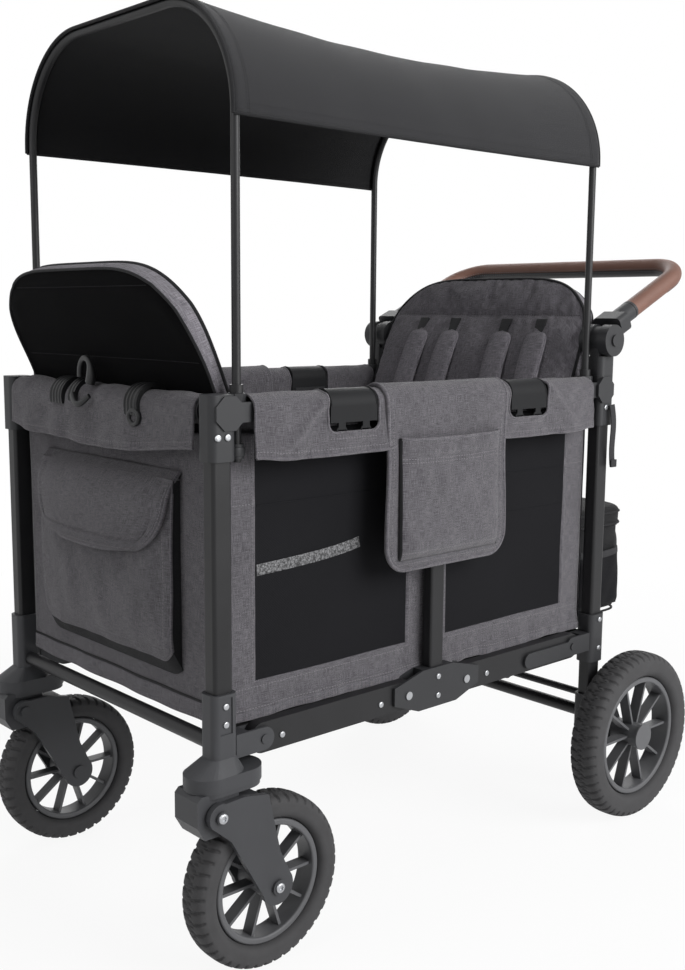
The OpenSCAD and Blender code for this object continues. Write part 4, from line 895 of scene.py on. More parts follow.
class WAGON_OT_panels(bpy.types.Operator):
    """Hangs the four side panels with their net windows and the two end panels"""

    bl_idname = "wagon.panels"
    bl_label = "Panels"

    def execute(self, context):
        thick = context.scene.wagon_sizes.cloth / MM
        seed = 90
        for end_name, end in ENDS:
            body = f"{end_name}_frame"
            for side_name, side in SIDES:
                seed += 11
                self.side(end_name, end, side_name, side, seed, body, thick)
            self.end(end_name, end, seed + 5, body, thick)
        return {"FINISHED"}

    def side(self, end_name, end, side_name, side, seed, body, thick):
        """A side panel: a net window in a stitched cloth border, and at the front a speckled elastic across it."""
        half = NET_STEP / 2
        lengths = grid_lines((3.5, NET_FROM - half, NET_FROM + half, NET_TO - half, NET_TO + half, PANEL_LONG - 0.5),
                             (10, 4, 68, 4, 13))
        heights = grid_lines((PANEL_FOOT + 1, NET_SILL - half, NET_SILL + half, PANEL_TOP), (20, 4, 70))
        along, z = mesh_grid(lengths, heights)
        mid_a, mid_z = middles(along), middles(z)
        net = ((mid_a > NET_FROM) & (mid_a < NET_TO) & (mid_z > NET_SILL)).astype(int)

        def on(a, z_at, lift=0.0):
            return side_panel_at(a, z_at, side, end, seed, lift)

        panel = cloth(f"{end_name}_side_panel_{side_name}", on(along, z), body, ["grey_cloth", "mesh_cloth"],
                      "mesh_cloth", thick, "hung", [f"{end_name}_top_rails"], faces=net)
        if side < 0:
            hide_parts(f"{end_name}_side_panels")
        trim = Shape()
        out = (0, side, 0)
        foot = np.linspace(4, PANEL_LONG - 1, 120)
        trim.tube(on(foot, PANEL_FOOT + 4.5, 0.6), bar(11, 3.4), out)
        trim.tube(on(np.linspace(NET_FROM + 2, NET_TO - 2, 80), NET_SILL, -0.2), bar(2.6, 1.6, 10), out)
        up = np.linspace(NET_SILL + 2.5, PANEL_TOP - 1, 80)
        for a in (NET_FROM, NET_TO):
            trim.tube(on(a, up, -0.2), bar(2.6, 1.6, 10), out)
        for z_at in (597.0, 537.0)[:1 if end < 0 else 2]:
            trim.tube(on(np.linspace(NET_FROM + 4, NET_TO - 4, 60), z_at, thick / 2), bar(2.2, 1.1, 10), out, slot=3)
        for a, z_at in ((foot, PANEL_FOOT + 13.0), (np.linspace(46, 352, 100), 365.0), (NET_TO + 4.5, up),
                        (NET_FROM - 5, up), (np.linspace(NET_TO + 2, PANEL_LONG - 2, 16), 600.0)):
            trim.sew(on(a, z_at, thick / 2 + 0.1), out)
        if end < 0:
            a = np.linspace(308, 132, 60)
            rise = 515 + (308 - a) * 0.045 + 7 * ((308 - a) / 176) ** 4
            trim.tube(on(a, rise, thick / 2 + 0.6), bar(15, 1.2), out, slot=2)
        piece = trim.build(f"{end_name}_side_panel_trim_{side_name}", body,
                           ["grey_hem", "thread", "speckled_elastic", "mesh_cloth"], "grey_cloth", weld=True)
        for soft in (panel, piece):
            shrink_with_fold(soft)

    def end(self, end_name, end, seed, body, thick):
        """An end panel with a piped and stitched band along its foot."""
        y, z = mesh_grid(np.linspace(-END_HALF + 0.4, END_HALF - 0.4, 121), np.linspace(PANEL_FOOT + 1, PANEL_TOP, 91))
        panel = cloth(f"{end_name}_panel_cloth", end_panel_at(y, z, end, seed), body, ["grey_cloth"], "grey_cloth",
                      thick, "hung", [f"{end_name}_cross_tubes"])
        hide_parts(f"{end_name}_panel")
        trim = Shape()
        line = np.linspace(-END_HALF + 1, END_HALF - 1, 121)

        def on(z_at, lift):
            return end_panel_at(line, z_at, end, seed, lift)

        out = (end, 0, 0)
        trim.tube(on(PANEL_FOOT + 12, 1.4), bar(24, 2.2), out)
        trim.tube(on(PANEL_FOOT + 25, 1.6), bar(3.2, 2.8, 10), out, slot=2)
        for z_at in (PANEL_FOOT + 4, PANEL_FOOT + 20):
            trim.sew(on(z_at, 2.6), out)
        trim.build(f"{end_name}_panel_trim", body, ["grey_hem", "thread", "piping_cloth"], "grey_cloth", weld=True)


# Front pocket


POCKET_HALF, POCKET_FOOT, POCKET_EDGE, POCKET_HEAD = 166.0, 374.0, 394.0, 628.0
GUSSET = 0.93
FLAP_HALF, FLAP_TOP, FLAP_FALL, FLAP_CORNER = 158.0, 638.0, 105.0, 66.0


def pocket_at(a, b, depth, lift=0.0):
    """The front pocket over (a, b) from -1 to 1: a bellied face up to the gusset share, then gussets that fall back to
    the panel, upright at the sides and slanting down at the foot; the lower corners are rounded."""
    side, foot = smooth((np.abs(a) - GUSSET) / (1 - GUSSET)), smooth((-b - GUSSET) / (1 - GUSSET))
    head = smooth((b - GUSSET) / (1 - GUSSET))
    stand = (1 - side) * (1 - foot) * (1 - head)
    y = np.sign(a) * (POCKET_HALF * np.minimum(np.abs(a) / GUSSET, 1) - 3.0 * side)
    share = np.clip((b + GUSSET) / (2 * GUSSET), 0, 1)
    z = POCKET_EDGE + (POCKET_HEAD - POCKET_EDGE) * share - (POCKET_EDGE - POCKET_FOOT) * foot
    corner = np.clip(np.abs(a) / GUSSET - 0.84, 0, 0.16) / 0.16
    z = z + 16 * corner ** 2.6 * np.clip(1 - share * 6, 0, 1) * (1 - 0.5 * foot)
    face = full(a) * full(2 * share - 1)
    rib = bell(np.minimum((1 - np.abs(a) / GUSSET) * POCKET_HALF, share * 234) - 9, 4)
    out = stand * (depth * (0.5 - 0.05 * share + 0.6 * face) + 1.0 * rib + 1.6 * folds(y, z, 301, 120)
                   + 1.3 * folds(y * 1.5, z * 0.6, 302, 65))
    return points(-PANEL_X - 2.8 - out - lift, y, z)


def flap_at(a, t, lift=0.0):
    """The pocket's flap, a from -1 to 1 across and t from 0 to 1 down: it leaves the panel, rounds over the pocket's
    top and hangs, its foot lifting off; its lower corners are quarter circles and its border is thick."""
    fall = FLAP_FALL * t
    short = np.clip(FLAP_CORNER - (FLAP_FALL - fall), 0, FLAP_CORNER)
    half = FLAP_HALF + 7 * (1 - t) - (FLAP_CORNER - np.sqrt(FLAP_CORNER ** 2 - short ** 2))
    y = half * a
    rim = np.minimum((1 - np.abs(a)) * half, FLAP_FALL - fall)
    border = 1.6 * (1 - smooth((rim - 12) / 3)) - 1.2 * bell(rim - 14.5, 1.6)
    out = ((17.0 + 13.0 * full(a)) * np.sqrt(smooth(fall / 44)) + 1.8 * folds(y, fall * 0.6, 311, 110) * t
           + 2.0 * t * full(a) + 13.0 * t ** 2 + border * smooth(t / 0.2))
    return points(-PANEL_X - 3.4 - out - lift, y, FLAP_TOP - fall - 4.0 * t * (1 - a ** 2))


class WAGON_OT_front_pocket(bpy.types.Operator):
    """Sews the front pocket to its panel: a bellied front, near-black gussets and a stitched flap; on the foot gusset
    the near-black is painted shade
    """

    bl_idname = "wagon.front_pocket"
    bl_label = "Front pocket"

    def execute(self, context):
        sizes = context.scene.wagon_sizes
        depth = sizes.pocket_depth / MM
        edge = np.linspace(GUSSET, 1, 9)
        share = np.concatenate([-edge[::-1], np.linspace(-GUSSET, GUSSET, 101)[1:-1], edge])
        a, b = mesh_grid(share, share)
        # The side and foot gussets get the near-black gusset cloth; on the foot gusset it is painted shade.
        gusset = (np.maximum(np.abs(middles(a)), -middles(b)) > GUSSET + 0.012).astype(int)
        pocket = cloth("front_pocket_body", pocket_at(a, b, depth), "front_frame", ["grey_cloth", "gusset_cloth_and_shade"],
                       "grey_cloth", sizes.cloth / MM, "hung", ["front_panel"], faces=gusset)
        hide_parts("front_pocket")
        a, t = mesh_grid(np.linspace(-1, 1, 81), np.linspace(0, 1, 61))
        cloth("front_pocket_flap", flap_at(a, t), "front_frame", ["grey_cloth"], "grey_cloth", 4.0, "hung",
              ["front_pocket_body"])
        trim = Shape()
        out = (-1, 0, 0)

        def face_edge(inset, lift):
            side, low = GUSSET * (1 - inset / POCKET_HALF), GUSSET * (1 - inset / 117)
            up = np.linspace(0.8, -low, 70)
            a_run = np.concatenate([np.full(70, -side), np.linspace(-side, side, 90)[1:-1], np.full(70, side)])
            b_run = np.concatenate([up, np.full(88, -low), up[::-1]])
            return pocket_at(a_run, b_run, depth, lift)

        trim.tube(face_edge(0.0, -0.4), ring(1.9), out)
        trim.sew(face_edge(13.0, 1.3), out)
        edge_t, across = np.linspace(0, 1, 60), np.linspace(-1, 1, 60)

        def border(inset, lift):
            shrink, low = 1 - inset / FLAP_HALF, 1 - inset / FLAP_FALL
            a_run = np.concatenate([np.full(60, -shrink), across[1:-1] * shrink, np.full(60, shrink)])
            t_run = np.concatenate([edge_t * low, np.full(58, low), edge_t[::-1] * low])
            return flap_at(a_run, t_run, lift)

        trim.tube(border(0.0, 0.0), ring(2.6), out)
        for inset in (4.0, 14.5):
            trim.sew(border(inset, 2.2), out)
        trim.build("front_pocket_trim", "front_frame", ["grey_hem", "thread"], "grey_cloth", weld=True)
        return {"FINISHED"}


# Rear bag


BAG_X, BAG_HALF_X, BAG_HALF_Y, BAG_FOOT, BAG_TOP = 452.6, 79.5, 204.0, 320.5, 511.5


def bag_ring(turn, z, grow_x, grow_y, seed, slack):
    """One level of the bag: a superellipse whose sides belly and wrinkle, flat where it rests on the panel."""
    c, s = np.cos(turn), np.sin(turn)
    x, y = np.sign(c) * np.abs(c) ** 0.32, np.sign(s) * np.abs(s) ** 0.32
    belly = slack * (1 + 0.8 * folds(turn * 90, z * 1.3, seed, 60))
    x_at = BAG_X + x * (BAG_HALF_X + grow_x) + c * belly
    return points(np.maximum(x_at, PANEL_X + 2.6), y * (BAG_HALF_Y + grow_y) + s * belly * 0.8, z)


class WAGON_OT_rear_bag(bpy.types.Operator):
    """Lofts the black bag behind the rear panel, with its lid, zip and side pockets"""

    bl_idname = "wagon.rear_bag"
    bl_label = "Rear bag"

    def execute(self, context):
        turn = np.linspace(0, 2 * np.pi, 180, endpoint=False)
        self.body(turn)
        self.lid(turn)
        self.trim(turn)
        for side_name, side in SIDES:
            self.side_pocket(side_name, side)
        self.back_pocket()
        return {"FINISHED"}

    def body(self, turn):
        """A rounded foot, slack sides and a top that closes under the lid."""
        level = np.concatenate([np.zeros(9), np.linspace(0, 1, 40), np.ones(4)])
        inset = np.concatenate([np.cos(np.linspace(0.06, 1, 9) * np.pi / 2), np.zeros(40), np.linspace(0.1, 0.96, 4)])
        height = BAG_FOOT + 12 * (1 - np.cos(np.linspace(0, 1, 9) * np.pi / 2))
        z = np.concatenate([height, height[-1] + np.linspace(0, 1, 40) * (484 - height[-1]), np.full(4, 484.5)])
        slack = 4.5 * np.sin(np.pi * np.clip(level, 0.0, 1.0)) ** 0.7
        body = bag_ring(turn[None], z[:, None], -BAG_HALF_X * 0.98 * inset[:, None],
                        -BAG_HALF_Y * 0.98 * inset[:, None], 401, slack[:, None])
        shape = Shape().grid(body, (False, True), caps=True)
        bag = shape.build("rear_bag_body", "rear_frame", ["black_cloth"], "black_cloth", outward=True)
        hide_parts("rear_bag")

    def lid(self, turn):
        """An upright band with a rounded shoulder and a crown of rings that close towards the middle."""
        rim, inner = np.linspace(0, 1, 12), np.linspace(0, 1, 9)[1:]
        lid_z = np.concatenate([[478.0, 478.0], np.linspace(478, 500, 8), 500 + 10 * np.sin(rim * np.pi / 2),
                                510 + (BAG_TOP - 510) * np.sin(inner * np.pi / 2)])
        grow_x = np.concatenate([[-60.0, 2.0], np.full(8, 3.0), 3.0 - 12 * (1 - np.cos(rim * np.pi / 2)),
                                 -9 - 70 * inner])
        grow_y = np.concatenate([grow_x[:22] * np.where(grow_x[:22] < -20, 2.2, 1.0), -9 - 194.5 * inner])
        lid = bag_ring(turn[None], lid_z[:, None], grow_x[:, None], grow_y[:, None], 402,
                       (1.2 * (grow_x > -20))[:, None])
        top = Shape().grid(lid, (False, True), caps=True)
        piece = top.build("rear_bag_lid", "rear_frame", ["black_cloth"], "black_cloth", outward=True)

    def trim(self, turn):
        """Piping round the lid and the foot, and a zip's teeth under the lid."""
        trim = Shape()
        for z_at, grow, radius in ((479.0, 3.4, 2.4), (499.0, 3.4, 2.0), (326.0, -1.0, 2.0)):
            trim.tube(bag_ring(turn, z_at, grow, grow, 402, 1.2), ring(radius), (0, 0, 1), True)
        teeth = bag_ring(turn, 475.0, 1.0, 1.0, 401, 1.5)
        trim.stitches(np.concatenate([teeth, teeth[:1]]), (0, 0, 1), 1.6, 2.6, 1, 0.9)
        trim.build("rear_bag_trim", "rear_frame", ["piping_cloth", "bracket_plastic"], "black_cloth", weld=True)

    def side_pocket(self, side_name, side):
        """A net pocket on the bag's end: open at its top, gathered by an elastic hem."""
        a, b = mesh_grid(np.sin(np.linspace(-1, 1, 41) * np.pi / 2), np.linspace(0, 1, 37))
        body = (1 - np.abs(a) ** 6) ** 0.5 * smooth(b / 0.14) ** 0.5
        x, z = BAG_X + 56 * a * (1 - 0.06 * b), 338 + 96 * b - 4 * b * (1 - a ** 2)
        out = BAG_HALF_Y + 3.2 + body * (9 + 1.6 * folds(x, z, 410, 40)) - 3 * smooth((b - 0.7) / 0.3) * body
        grid = points(x, side * out, z)
        cloth(f"rear_bag_pocket_{side_name}", grid, "rear_frame", ["mesh_cloth"], "mesh_cloth", 1.6, "hung",
              ["rear_bag_body"])
        trim = Shape().tube(grid[:, -1], bar(2.6, 12, 12)[:, ::-1] * (1, -1), (0, side, 0))
        trim.build(f"rear_bag_pocket_hem_{side_name}", "rear_frame", ["webbing"], "black_cloth", outward=True)

    def back_pocket(self):
        """A flat pocket on the bag's back with a bound mouth."""
        a, b = mesh_grid(np.sin(np.linspace(-1, 1, 61) * np.pi / 2), np.linspace(0, 1, 37))
        body = (1 - np.abs(a) ** 8) ** 0.5 * smooth(b / 0.12) ** 0.5
        y, z = 128 * a, 338 + 104 * b - 3 * b * (1 - a ** 2)
        grid = points(BAG_X + BAG_HALF_X + 3.0 + body * (5 + 1.2 * folds(y, z, 412, 60)), y, z)
        cloth("rear_bag_back_pocket", grid, "rear_frame", ["black_cloth"], "black_cloth", 1.8, "hung",
              ["rear_bag_body"])
        trim = Shape().tube(grid[:, -1], ring(2.2), (1, 0, 0))
        trim.build("rear_bag_back_pocket_hem", "rear_frame", ["piping_cloth"], "black_cloth", outward=True)


# Saddle bag


SADDLE_HALF, SADDLE_SKIRT, SADDLE_R, SADDLE_INNER, SADDLE_CORNER = 119.0, 228.0, 23.2, 67.0, 34.0
SADDLE_RUN = SADDLE_SKIRT + math.pi * SADDLE_R + SADDLE_INNER
POUCH_HALF, POUCH_FOOT, POUCH_HIGH = 99.0, 505.0, 166.0


def saddle_at(a, w, lift=0.0):
    """The saddle bag's cloth, a from -1 to 1 along the rail and w from its outer hem: over the rail like a sleeve, with
    rounded lower corners, a crease over the rail's edge and slow waves."""
    short = np.clip(SADDLE_CORNER - w, 0, SADDLE_CORNER)
    half = SADDLE_HALF - (SADDLE_CORNER - np.sqrt(SADDLE_CORNER ** 2 - short ** 2)) - 3 * bell(w - 150, 60)
    x = half * a
    drop = 1 - smooth(w / SADDLE_SKIRT)
    off = lift + 0.8 * folds(x, w, 501, 120) + 2.2 * drop + 1.0 * bell(w - SADDLE_SKIRT + 16, 8)
    across, up = over_rail(w, SADDLE_SKIRT, off, SADDLE_R)
    return points(x, -(LEG_Y + across), ARCH_Z + up)


def saddle_pocket_at(a, b, lift=0.0):
    """The pocket on the outer leaf, a across and b up from 0 to 1: bellied, gathered at its foot, open at its top."""
    body = (1 - np.abs(a) ** 7) ** 0.5 * smooth(b / 0.1) ** 0.5
    x, z = POUCH_HALF * a, POUCH_FOOT + POUCH_HIGH * b - 2.5 * b * (1 - a ** 2)
    out = body * (10.5 - 3.0 * b + 1.5 * folds(x, z, 511, 80) + 0.9 * folds(x * 1.4, z, 512, 40)
                  + 2.0 * smooth((b - 0.86) / 0.025))
    return points(x, -LEG_Y - SADDLE_R - 2.6 - 2.2 * (1 - smooth((z - 490) / 228)) - out - lift, z)


class WAGON_OT_saddle_bag(bpy.types.Operator):
    """Lays the saddle bag over the left rail, with bound edges and an open pocket"""

    bl_idname = "wagon.saddle_bag"
    bl_label = "Saddle bag"

    def execute(self, context):
        w_line = np.concatenate([SADDLE_CORNER * (1 - np.cos(np.linspace(0, np.pi / 2, 15)))[:-1] + 0.02,
                                 np.linspace(SADDLE_CORNER, SADDLE_RUN, 110)])
        a, w = mesh_grid(np.linspace(-1, 1, 81), w_line)
        leaf = cloth("saddle_bag_cloth", saddle_at(a, w), "center", ["grey_cloth"], "grey_cloth", 3.4, "draped",
                     ["front_top_rails", "rear_top_rails"])
        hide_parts("saddle_bag")
        a, b = mesh_grid(np.sin(np.linspace(-1, 1, 71) * np.pi / 2), np.linspace(0, 1, 71))
        gusset = (np.abs(middles(a)) > 0.975).astype(int)
        pocket = cloth("saddle_bag_pocket", saddle_pocket_at(a, b), "center", ["grey_cloth", "black_cloth"],
                       "grey_cloth", 2.0, "hung", ["saddle_bag_cloth"], faces=gusset)
        trim = Shape()
        foot = np.linspace(-1, 1, 61)

        def border(inset, lift):
            shrink = 1 - inset / SADDLE_HALF
            rise = np.maximum(w_line, inset)
            a_run = np.concatenate([np.full(len(rise), -shrink), foot[1:-1] * shrink, np.full(len(rise), shrink)])
            w_run = np.concatenate([rise[::-1], np.full(59, rise[0]), rise])
            return saddle_at(a_run, w_run, lift)

        edge = border(0.0, 0.0)
        trim.tube(edge, ring(3.0), border(0.0, 2.0) - edge + (0, 1e-6, 0))
        seam = border(8.0, 1.8)
        trim.sew(seam, border(8.0, 3.8) - seam)
        line = np.linspace(-0.985, 0.985, 60)
        trim.tube(saddle_pocket_at(line, 0.992, 0.4), bar(4.0, 2.8), (0, -1, 0))
        for b_at in (0.80, 0.83, 0.06):
            trim.sew(saddle_pocket_at(line, b_at, 1.15), (0, -1, 0))
        piece = trim.build("saddle_bag_trim", "center", ["grey_hem", "thread"], "grey_cloth", weld=True)
        for soft in (leaf, pocket, piece):
            shrink_with_fold(soft)
        return {"FINISHED"}


# Seats


def seat_bend(t):
    """How much further out the back leans above the end rail that it rests on: a straight rise after a soft knee."""
    return 0.062 * 18 * np.logaddexp(0.0, (t - 150) / 18)


def seat_point(u, t, n, end):
    """A place on a seat: u across the wagon, t up the leaning back from its hinge and n inwards from its middle."""
    lean, rise = math.sin(SEAT_LEAN), math.cos(SEAT_LEAN)
    n = n - seat_bend(t)
    return points(end * (SEAT_X + t * lean - n * rise), u, SEAT_Z + t * rise + n * lean)


def seat_local(place, end):
    """A seat point's run up the back and its height off the back's middle plane."""
    lean, rise = math.sin(SEAT_LEAN), math.cos(SEAT_LEAN)
    out, up = end * place[:, 0] - SEAT_X, place[:, 2] - SEAT_Z
    t = out * lean + up * rise
    return t, up * lean - out * rise + seat_bend(t)


def seat_arch(u):
    """The back's height at the across share u, as a share of its middle's height."""
    return 1 - 0.165 * np.abs(u) ** 5.2


def seat_outline(u, v):
    """Across and up places over (u, v): an arched top with drawn-in shoulders."""
    return SEAT_HALF * u * (1 - 0.07 * v ** 10), SEAT_FOOT + SEAT_RUN * v * seat_arch(u)


def seat_face(u, v):
    """Height of the padded face: a crown with full shoulders, a straight sewn channel under the head, creases that
    gather towards it, and slow unevenness."""
    t = seat_outline(u, v)[1]
    crown = np.sqrt(full(u) * full(2 * v - 1))
    channel = bell(t - SEAM_FACE, 6.0) * full(u * 1.02)
    gather = bell(t - SEAM_FACE, 30.0) * folds(u * 230, t * 0.7, 604, 36)
    soft = folds(u * 200, v * 300, 601, 80)
    return SEAT_DEEP * (0.6 + 0.42 * crown) - 6.0 * channel + crown * (1.6 * gather + 1.1 * soft)


def seat_rear(u, v):
    """Height of the black back: flat and thin behind the rail, thicker above it, rounded off towards its rim, with two
    straight seams."""
    t = seat_outline(u, v)[1]
    seams = bell(t - SEAM_TOP, 3.5) + bell(t - SEAM_LOW, 3.5)
    rim = np.minimum((1 - np.abs(u)) * SEAT_HALF, (1 - v) * SEAT_RUN)
    swell = smooth((v - 0.66) / 0.34)
    return (-SEAT_DEEP * (0.38 + 0.6 * swell) + 5.0 * swell * (1 - smooth(rim / 34)) + 1.8 * seams * full(u)
            - 0.5 * folds(u * 200, v * 300, 602, 110))


def seat_seam(t):
    """A straight seam across a seat at run t: the across and up shares that stay inside its outline."""
    u = np.linspace(-0.95, 0.95, 140)
    v = (t - SEAT_FOOT) / (SEAT_RUN * seat_arch(u))
    return u[v < 0.975], v[v < 0.975]


class WAGON_OT_seat_backs(bpy.types.Operator):
    """Stuffs the two seat backs, pipes their rims and lays the shoulder pads on them"""

    bl_idname = "wagon.seat_backs"
    bl_label = "Seat backs"

    def execute(self, context):
        sizes = context.scene.wagon_sizes
        share = np.linspace(0, 1, 91)
        across = np.sin(np.linspace(-1, 1, 97) * np.pi / 2)
        rise = 0.5 - 0.5 * np.cos(share * np.pi)
        rise = 0.45 * rise + 0.55 * share
        u, v = mesh_grid(across, rise)
        y, t = seat_outline(u, v)
        for end_name, end in ENDS:
            body = f"{end_name}_seat_back"
            # The face takes the lighter seat cloth, which is painted light, and the black rear takes the darker seat
            # black, which is painted shade.
            pad = cushion(f"{end_name}_seat_pad", seat_point(y, t, seat_face(u, v), end),
                          seat_point(y, t, seat_rear(u, v), end), body, ["seat_cloth_lit", "seat_black_shaded"], "grey_cloth",
                          2.2)
            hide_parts(body)

            def sewn(place, end=end):
                t, n = seat_local(place, end)
                return (n < 12.0) | (np.abs(t - SEAM_FACE) < 3.0)

            stuffed(pad, sewn, 0.012, 2.2, 0.0045)
            trim = Shape()
            edge_u = np.concatenate([np.full(91, -1.0), across[1:-1], np.full(91, 1.0)])
            edge_v = np.concatenate([rise, np.ones(95), rise[::-1]])
            edge_y, edge_t = seat_outline(edge_u, edge_v)
            inward = seat_point(0.0, 0.0, 1.0, end) - seat_point(0.0, 0.0, 0.0, end)
            for n, radius in ((seat_face(edge_u, edge_v), 0.75), (seat_rear(edge_u, edge_v), 0.5)):
                trim.tube(seat_point(edge_y, edge_t, n, end), ring(radius * sizes.piping / MM, 10), inward)
            for t_at, face in ((SEAM_FACE, True), (SEAM_TOP, False), (SEAM_LOW, False)):
                line = seat_seam(t_at)
                seam_y, seam_t = seat_outline(*line)
                n = seat_face(*line) + 0.2 if face else seat_rear(*line) - 0.2
                trim.sew(seat_point(seam_y, seam_t, n, end), inward, 0.6)
            trim.build(f"{end_name}_seat_trim", body, ["piping_cloth", "piping_cloth"], "black_cloth", weld=True)
            self.shoulder_pads(end_name, end, body, inward, sizes.pad_width / MM / 2)
        return {"FINISHED"}

    def shoulder_pads(self, end_name, end, body, inward, half):
        """Four pads a seat: a flat rounded section carried down the back in a shallow bow, bound along both edges, with
        a strap from a slot above it."""
        pads, trim = Shape(), Shape()
        k, strap = np.linspace(0, 1, 49), np.linspace(0.75, 0.66, 10)

        def on(y, v, lift):
            return seat_point(y, SEAT_FOOT + SEAT_RUN * v, seat_face(y / SEAT_HALF, v) + lift, end)

        bow = 4.0 + 6.0 * np.sin(np.pi * np.clip(k * 1.05, 0, 1)) ** 0.8
        grow = (1 - (2 * k - 1) ** 14) ** 0.5 * 0.98 + 0.02
        rim = (half * grow)[:, None] * (0, 1, 0)
        for y0, y1 in ((-138, -150), (-62, -74), (54, 58), (130, 134)):
            path = on(y0 + (y1 - y0) * k, 0.695 - 0.5 * k, bow)
            pads.tube(path, bar(2 * half, 9.5, 24, 0.6), inward, grow=grow)
            trim.tube(np.concatenate([path + rim, (path - rim)[::-1]]), ring(1.9), inward, closed=True)
            trim.tube(on(np.linspace(y0 - 10, y0 + 10, 12), 0.75, 1.0), bar(13, 4.0), inward, slot=1)
            trim.tube(on(y0, strap, 3.0), bar(19, 2.4), inward, slot=1)
        # The pads and their binding use the lighter copies of the grey cloth: painted light.
        piece = pads.build(f"{end_name}_shoulder_pads", body, ["pad_cloth"], "grey_cloth", outward=True)
        trim.build(f"{end_name}_shoulder_pad_trim", body, ["pad_hem", "webbing"], "grey_cloth", weld=True)


class WAGON_OT_seat_bases(bpy.types.Operator):
    """Stuffs the two seat cushions on their boards and hangs them from the rails by webbing"""

    bl_idname = "wagon.seat_bases"
    bl_label = "Seat cushions"

    def execute(self, context):
        share = np.sin(np.linspace(-1, 1, 73) * np.pi / 2)
        a, b = mesh_grid(share, share)
        crown = np.sqrt(full(a) * full(b))
        for end_name, end in ENDS:
            body = f"{end_name}_frame"
            x = end * (DECK_X + 78.5 * a * (1 - 0.012 * full(b)))
            y = 223.5 * b * (1 - 0.01 * full(a))
            channel = bell(b, 0.03) + bell(a + 0.55, 0.05)
            top = 554 + 12.5 * crown - 3.5 * channel * crown + crown * folds(x, y, 620, 90)
            pad = cushion(f"{end_name}_seat_cushion", points(x, y, top), points(x, y, 540.4 + 0 * a), body,
                          ["grey_cloth", "black_cloth"], "grey_cloth", 1.5)
            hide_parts(f"{end_name}_seat_base")
            stuffed(pad, lambda place: (place[:, 2] < 555.5) | (np.abs(place[:, 1]) < 3.5), 0.012, 2.5, 0.0045)
            under = Shape()
            across, drop = np.linspace(-228, 228, 40), np.linspace(0, 1, 30)
            under.tube(points(end * DECK_X, across, 537.7), bar(157, 4.0, 32, 0.2), (0, 0, 1))
            under.tube(points(end * SEAT_X, across, SEAT_Z), ring(4.0, 16), (0, 0, 1), slot=2)
            for _, side in SIDES:
                hang = points(end * HANGER_X, side * (227.0 + 0.8 * np.sin(drop * 9)), 538 + 165 * drop)
                under.tube(hang, bar(70, 2.4, 20, 0.25), (0, side, 0), slot=1)
                ear = points(end * (SEAT_X - 38 * (1 - drop)), side * 226.7, 539.5 + (SEAT_Z - 539.5) * drop)
                under.tube(ear, bar(15, 3.5), (0, side, 0), slot=2)
                knob = points(end * SEAT_X, side * np.linspace(224.9, 228.4, 8), SEAT_Z)
                under.tube(knob, ring(8.0, 20), (0, 0, 1), slot=2)
            frame_piece = under.build(f"{end_name}_seat_support", body, ["black_cloth", "webbing", "bracket_plastic"],
                                      "black_cloth", weld=True)
            for soft in (pad, frame_piece):
                shrink_with_fold(soft)
        return {"FINISHED"}


# Tyres


class WAGON_OT_tyres(bpy.types.Operator):
    """Revolves the four tyres, with slanted shoulder lugs, a zigzag groove and ringed side walls"""

    bl_idname = "wagon.tyres"
    bl_label = "Tyres"

    def execute(self, context):
        sizes = context.scene.wagon_sizes
        for side_name, side in SIDES:
            for end_name, (x, y, z), width, wall, lugs in (("front", FRONT_AXLE, 45.0, 31.9, sizes.front_lugs),
                                                           ("rear", REAR_AXLE, 50.0, 39.9, sizes.rear_lugs)):
                self.tyre(f"{end_name}_wheel_{side_name}", f"{end_name}_tyre_{side_name}", (x, side * y, z), width,
                          wall, lugs, sizes.tread / MM)
        return {"FINISHED"}

    def tyre(self, body, node, axle, width, wall, lugs, depth):
        """Section a superellipse turned about the axle; the tread sinks by depth in slanted grooves on the shoulders,
        staggered from side to side, and along a zigzag down the middle; the walls carry raised rings."""
        radius = axle[2]
        turn, part = mesh_grid(np.linspace(0, 2 * np.pi, lugs * 16, endpoint=False),
                               np.linspace(0, 2 * np.pi, 64, endpoint=False))
        c, s = np.cos(part), np.sin(part)
        y = np.sign(c) * np.abs(c) ** 0.62
        r = np.sign(s) * np.abs(s) ** 0.62
        lug = turn * lugs / (2 * np.pi) + np.where(y > 0, 0.5, 0.0) + 0.3 * np.abs(y)
        gap = np.abs((lug % 1.0) - 0.5) * 2
        groove = smooth((0.36 - gap) / 0.16) * smooth((np.abs(y) - 0.3) / 0.12)
        zigzag = 0.2 * (np.abs(((turn * lugs / (2 * np.pi)) % 1.0) - 0.5) * 4 - 1)
        middle = smooth((0.11 - np.abs(y - zigzag)) / 0.06)
        outer = smooth((r - 0.42) / 0.2)
        sink = depth * outer * np.maximum(groove, middle * 0.8)
        wall_r = radius - wall / 2 + r * wall / 2
        rings = 0.7 * bell(wall_r - (radius - wall * 0.36), 1.3) - 0.9 * bell(wall_r - (radius - wall * 0.46), 1.1)
        r_at = wall_r - sink * np.clip(r, 0, 1)
        y_at = y * (width / 2 - sink * 0.35) + np.sign(y) * rings * smooth((np.abs(y) - 0.8) / 0.15)
        y_at = np.clip(y_at, -width / 2 + 0.05, width / 2 - 0.05)
        grid = points(axle[0] + r_at * np.cos(turn), axle[1] + y_at, axle[2] + r_at * np.sin(turn))
        piece = Shape().grid(grid, (True, True)).build(node + "_tread", body, ["tyre_rubber"], "tyre_rubber",
                                                      outward=True, sharp=60)
        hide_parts(node)


# Handle


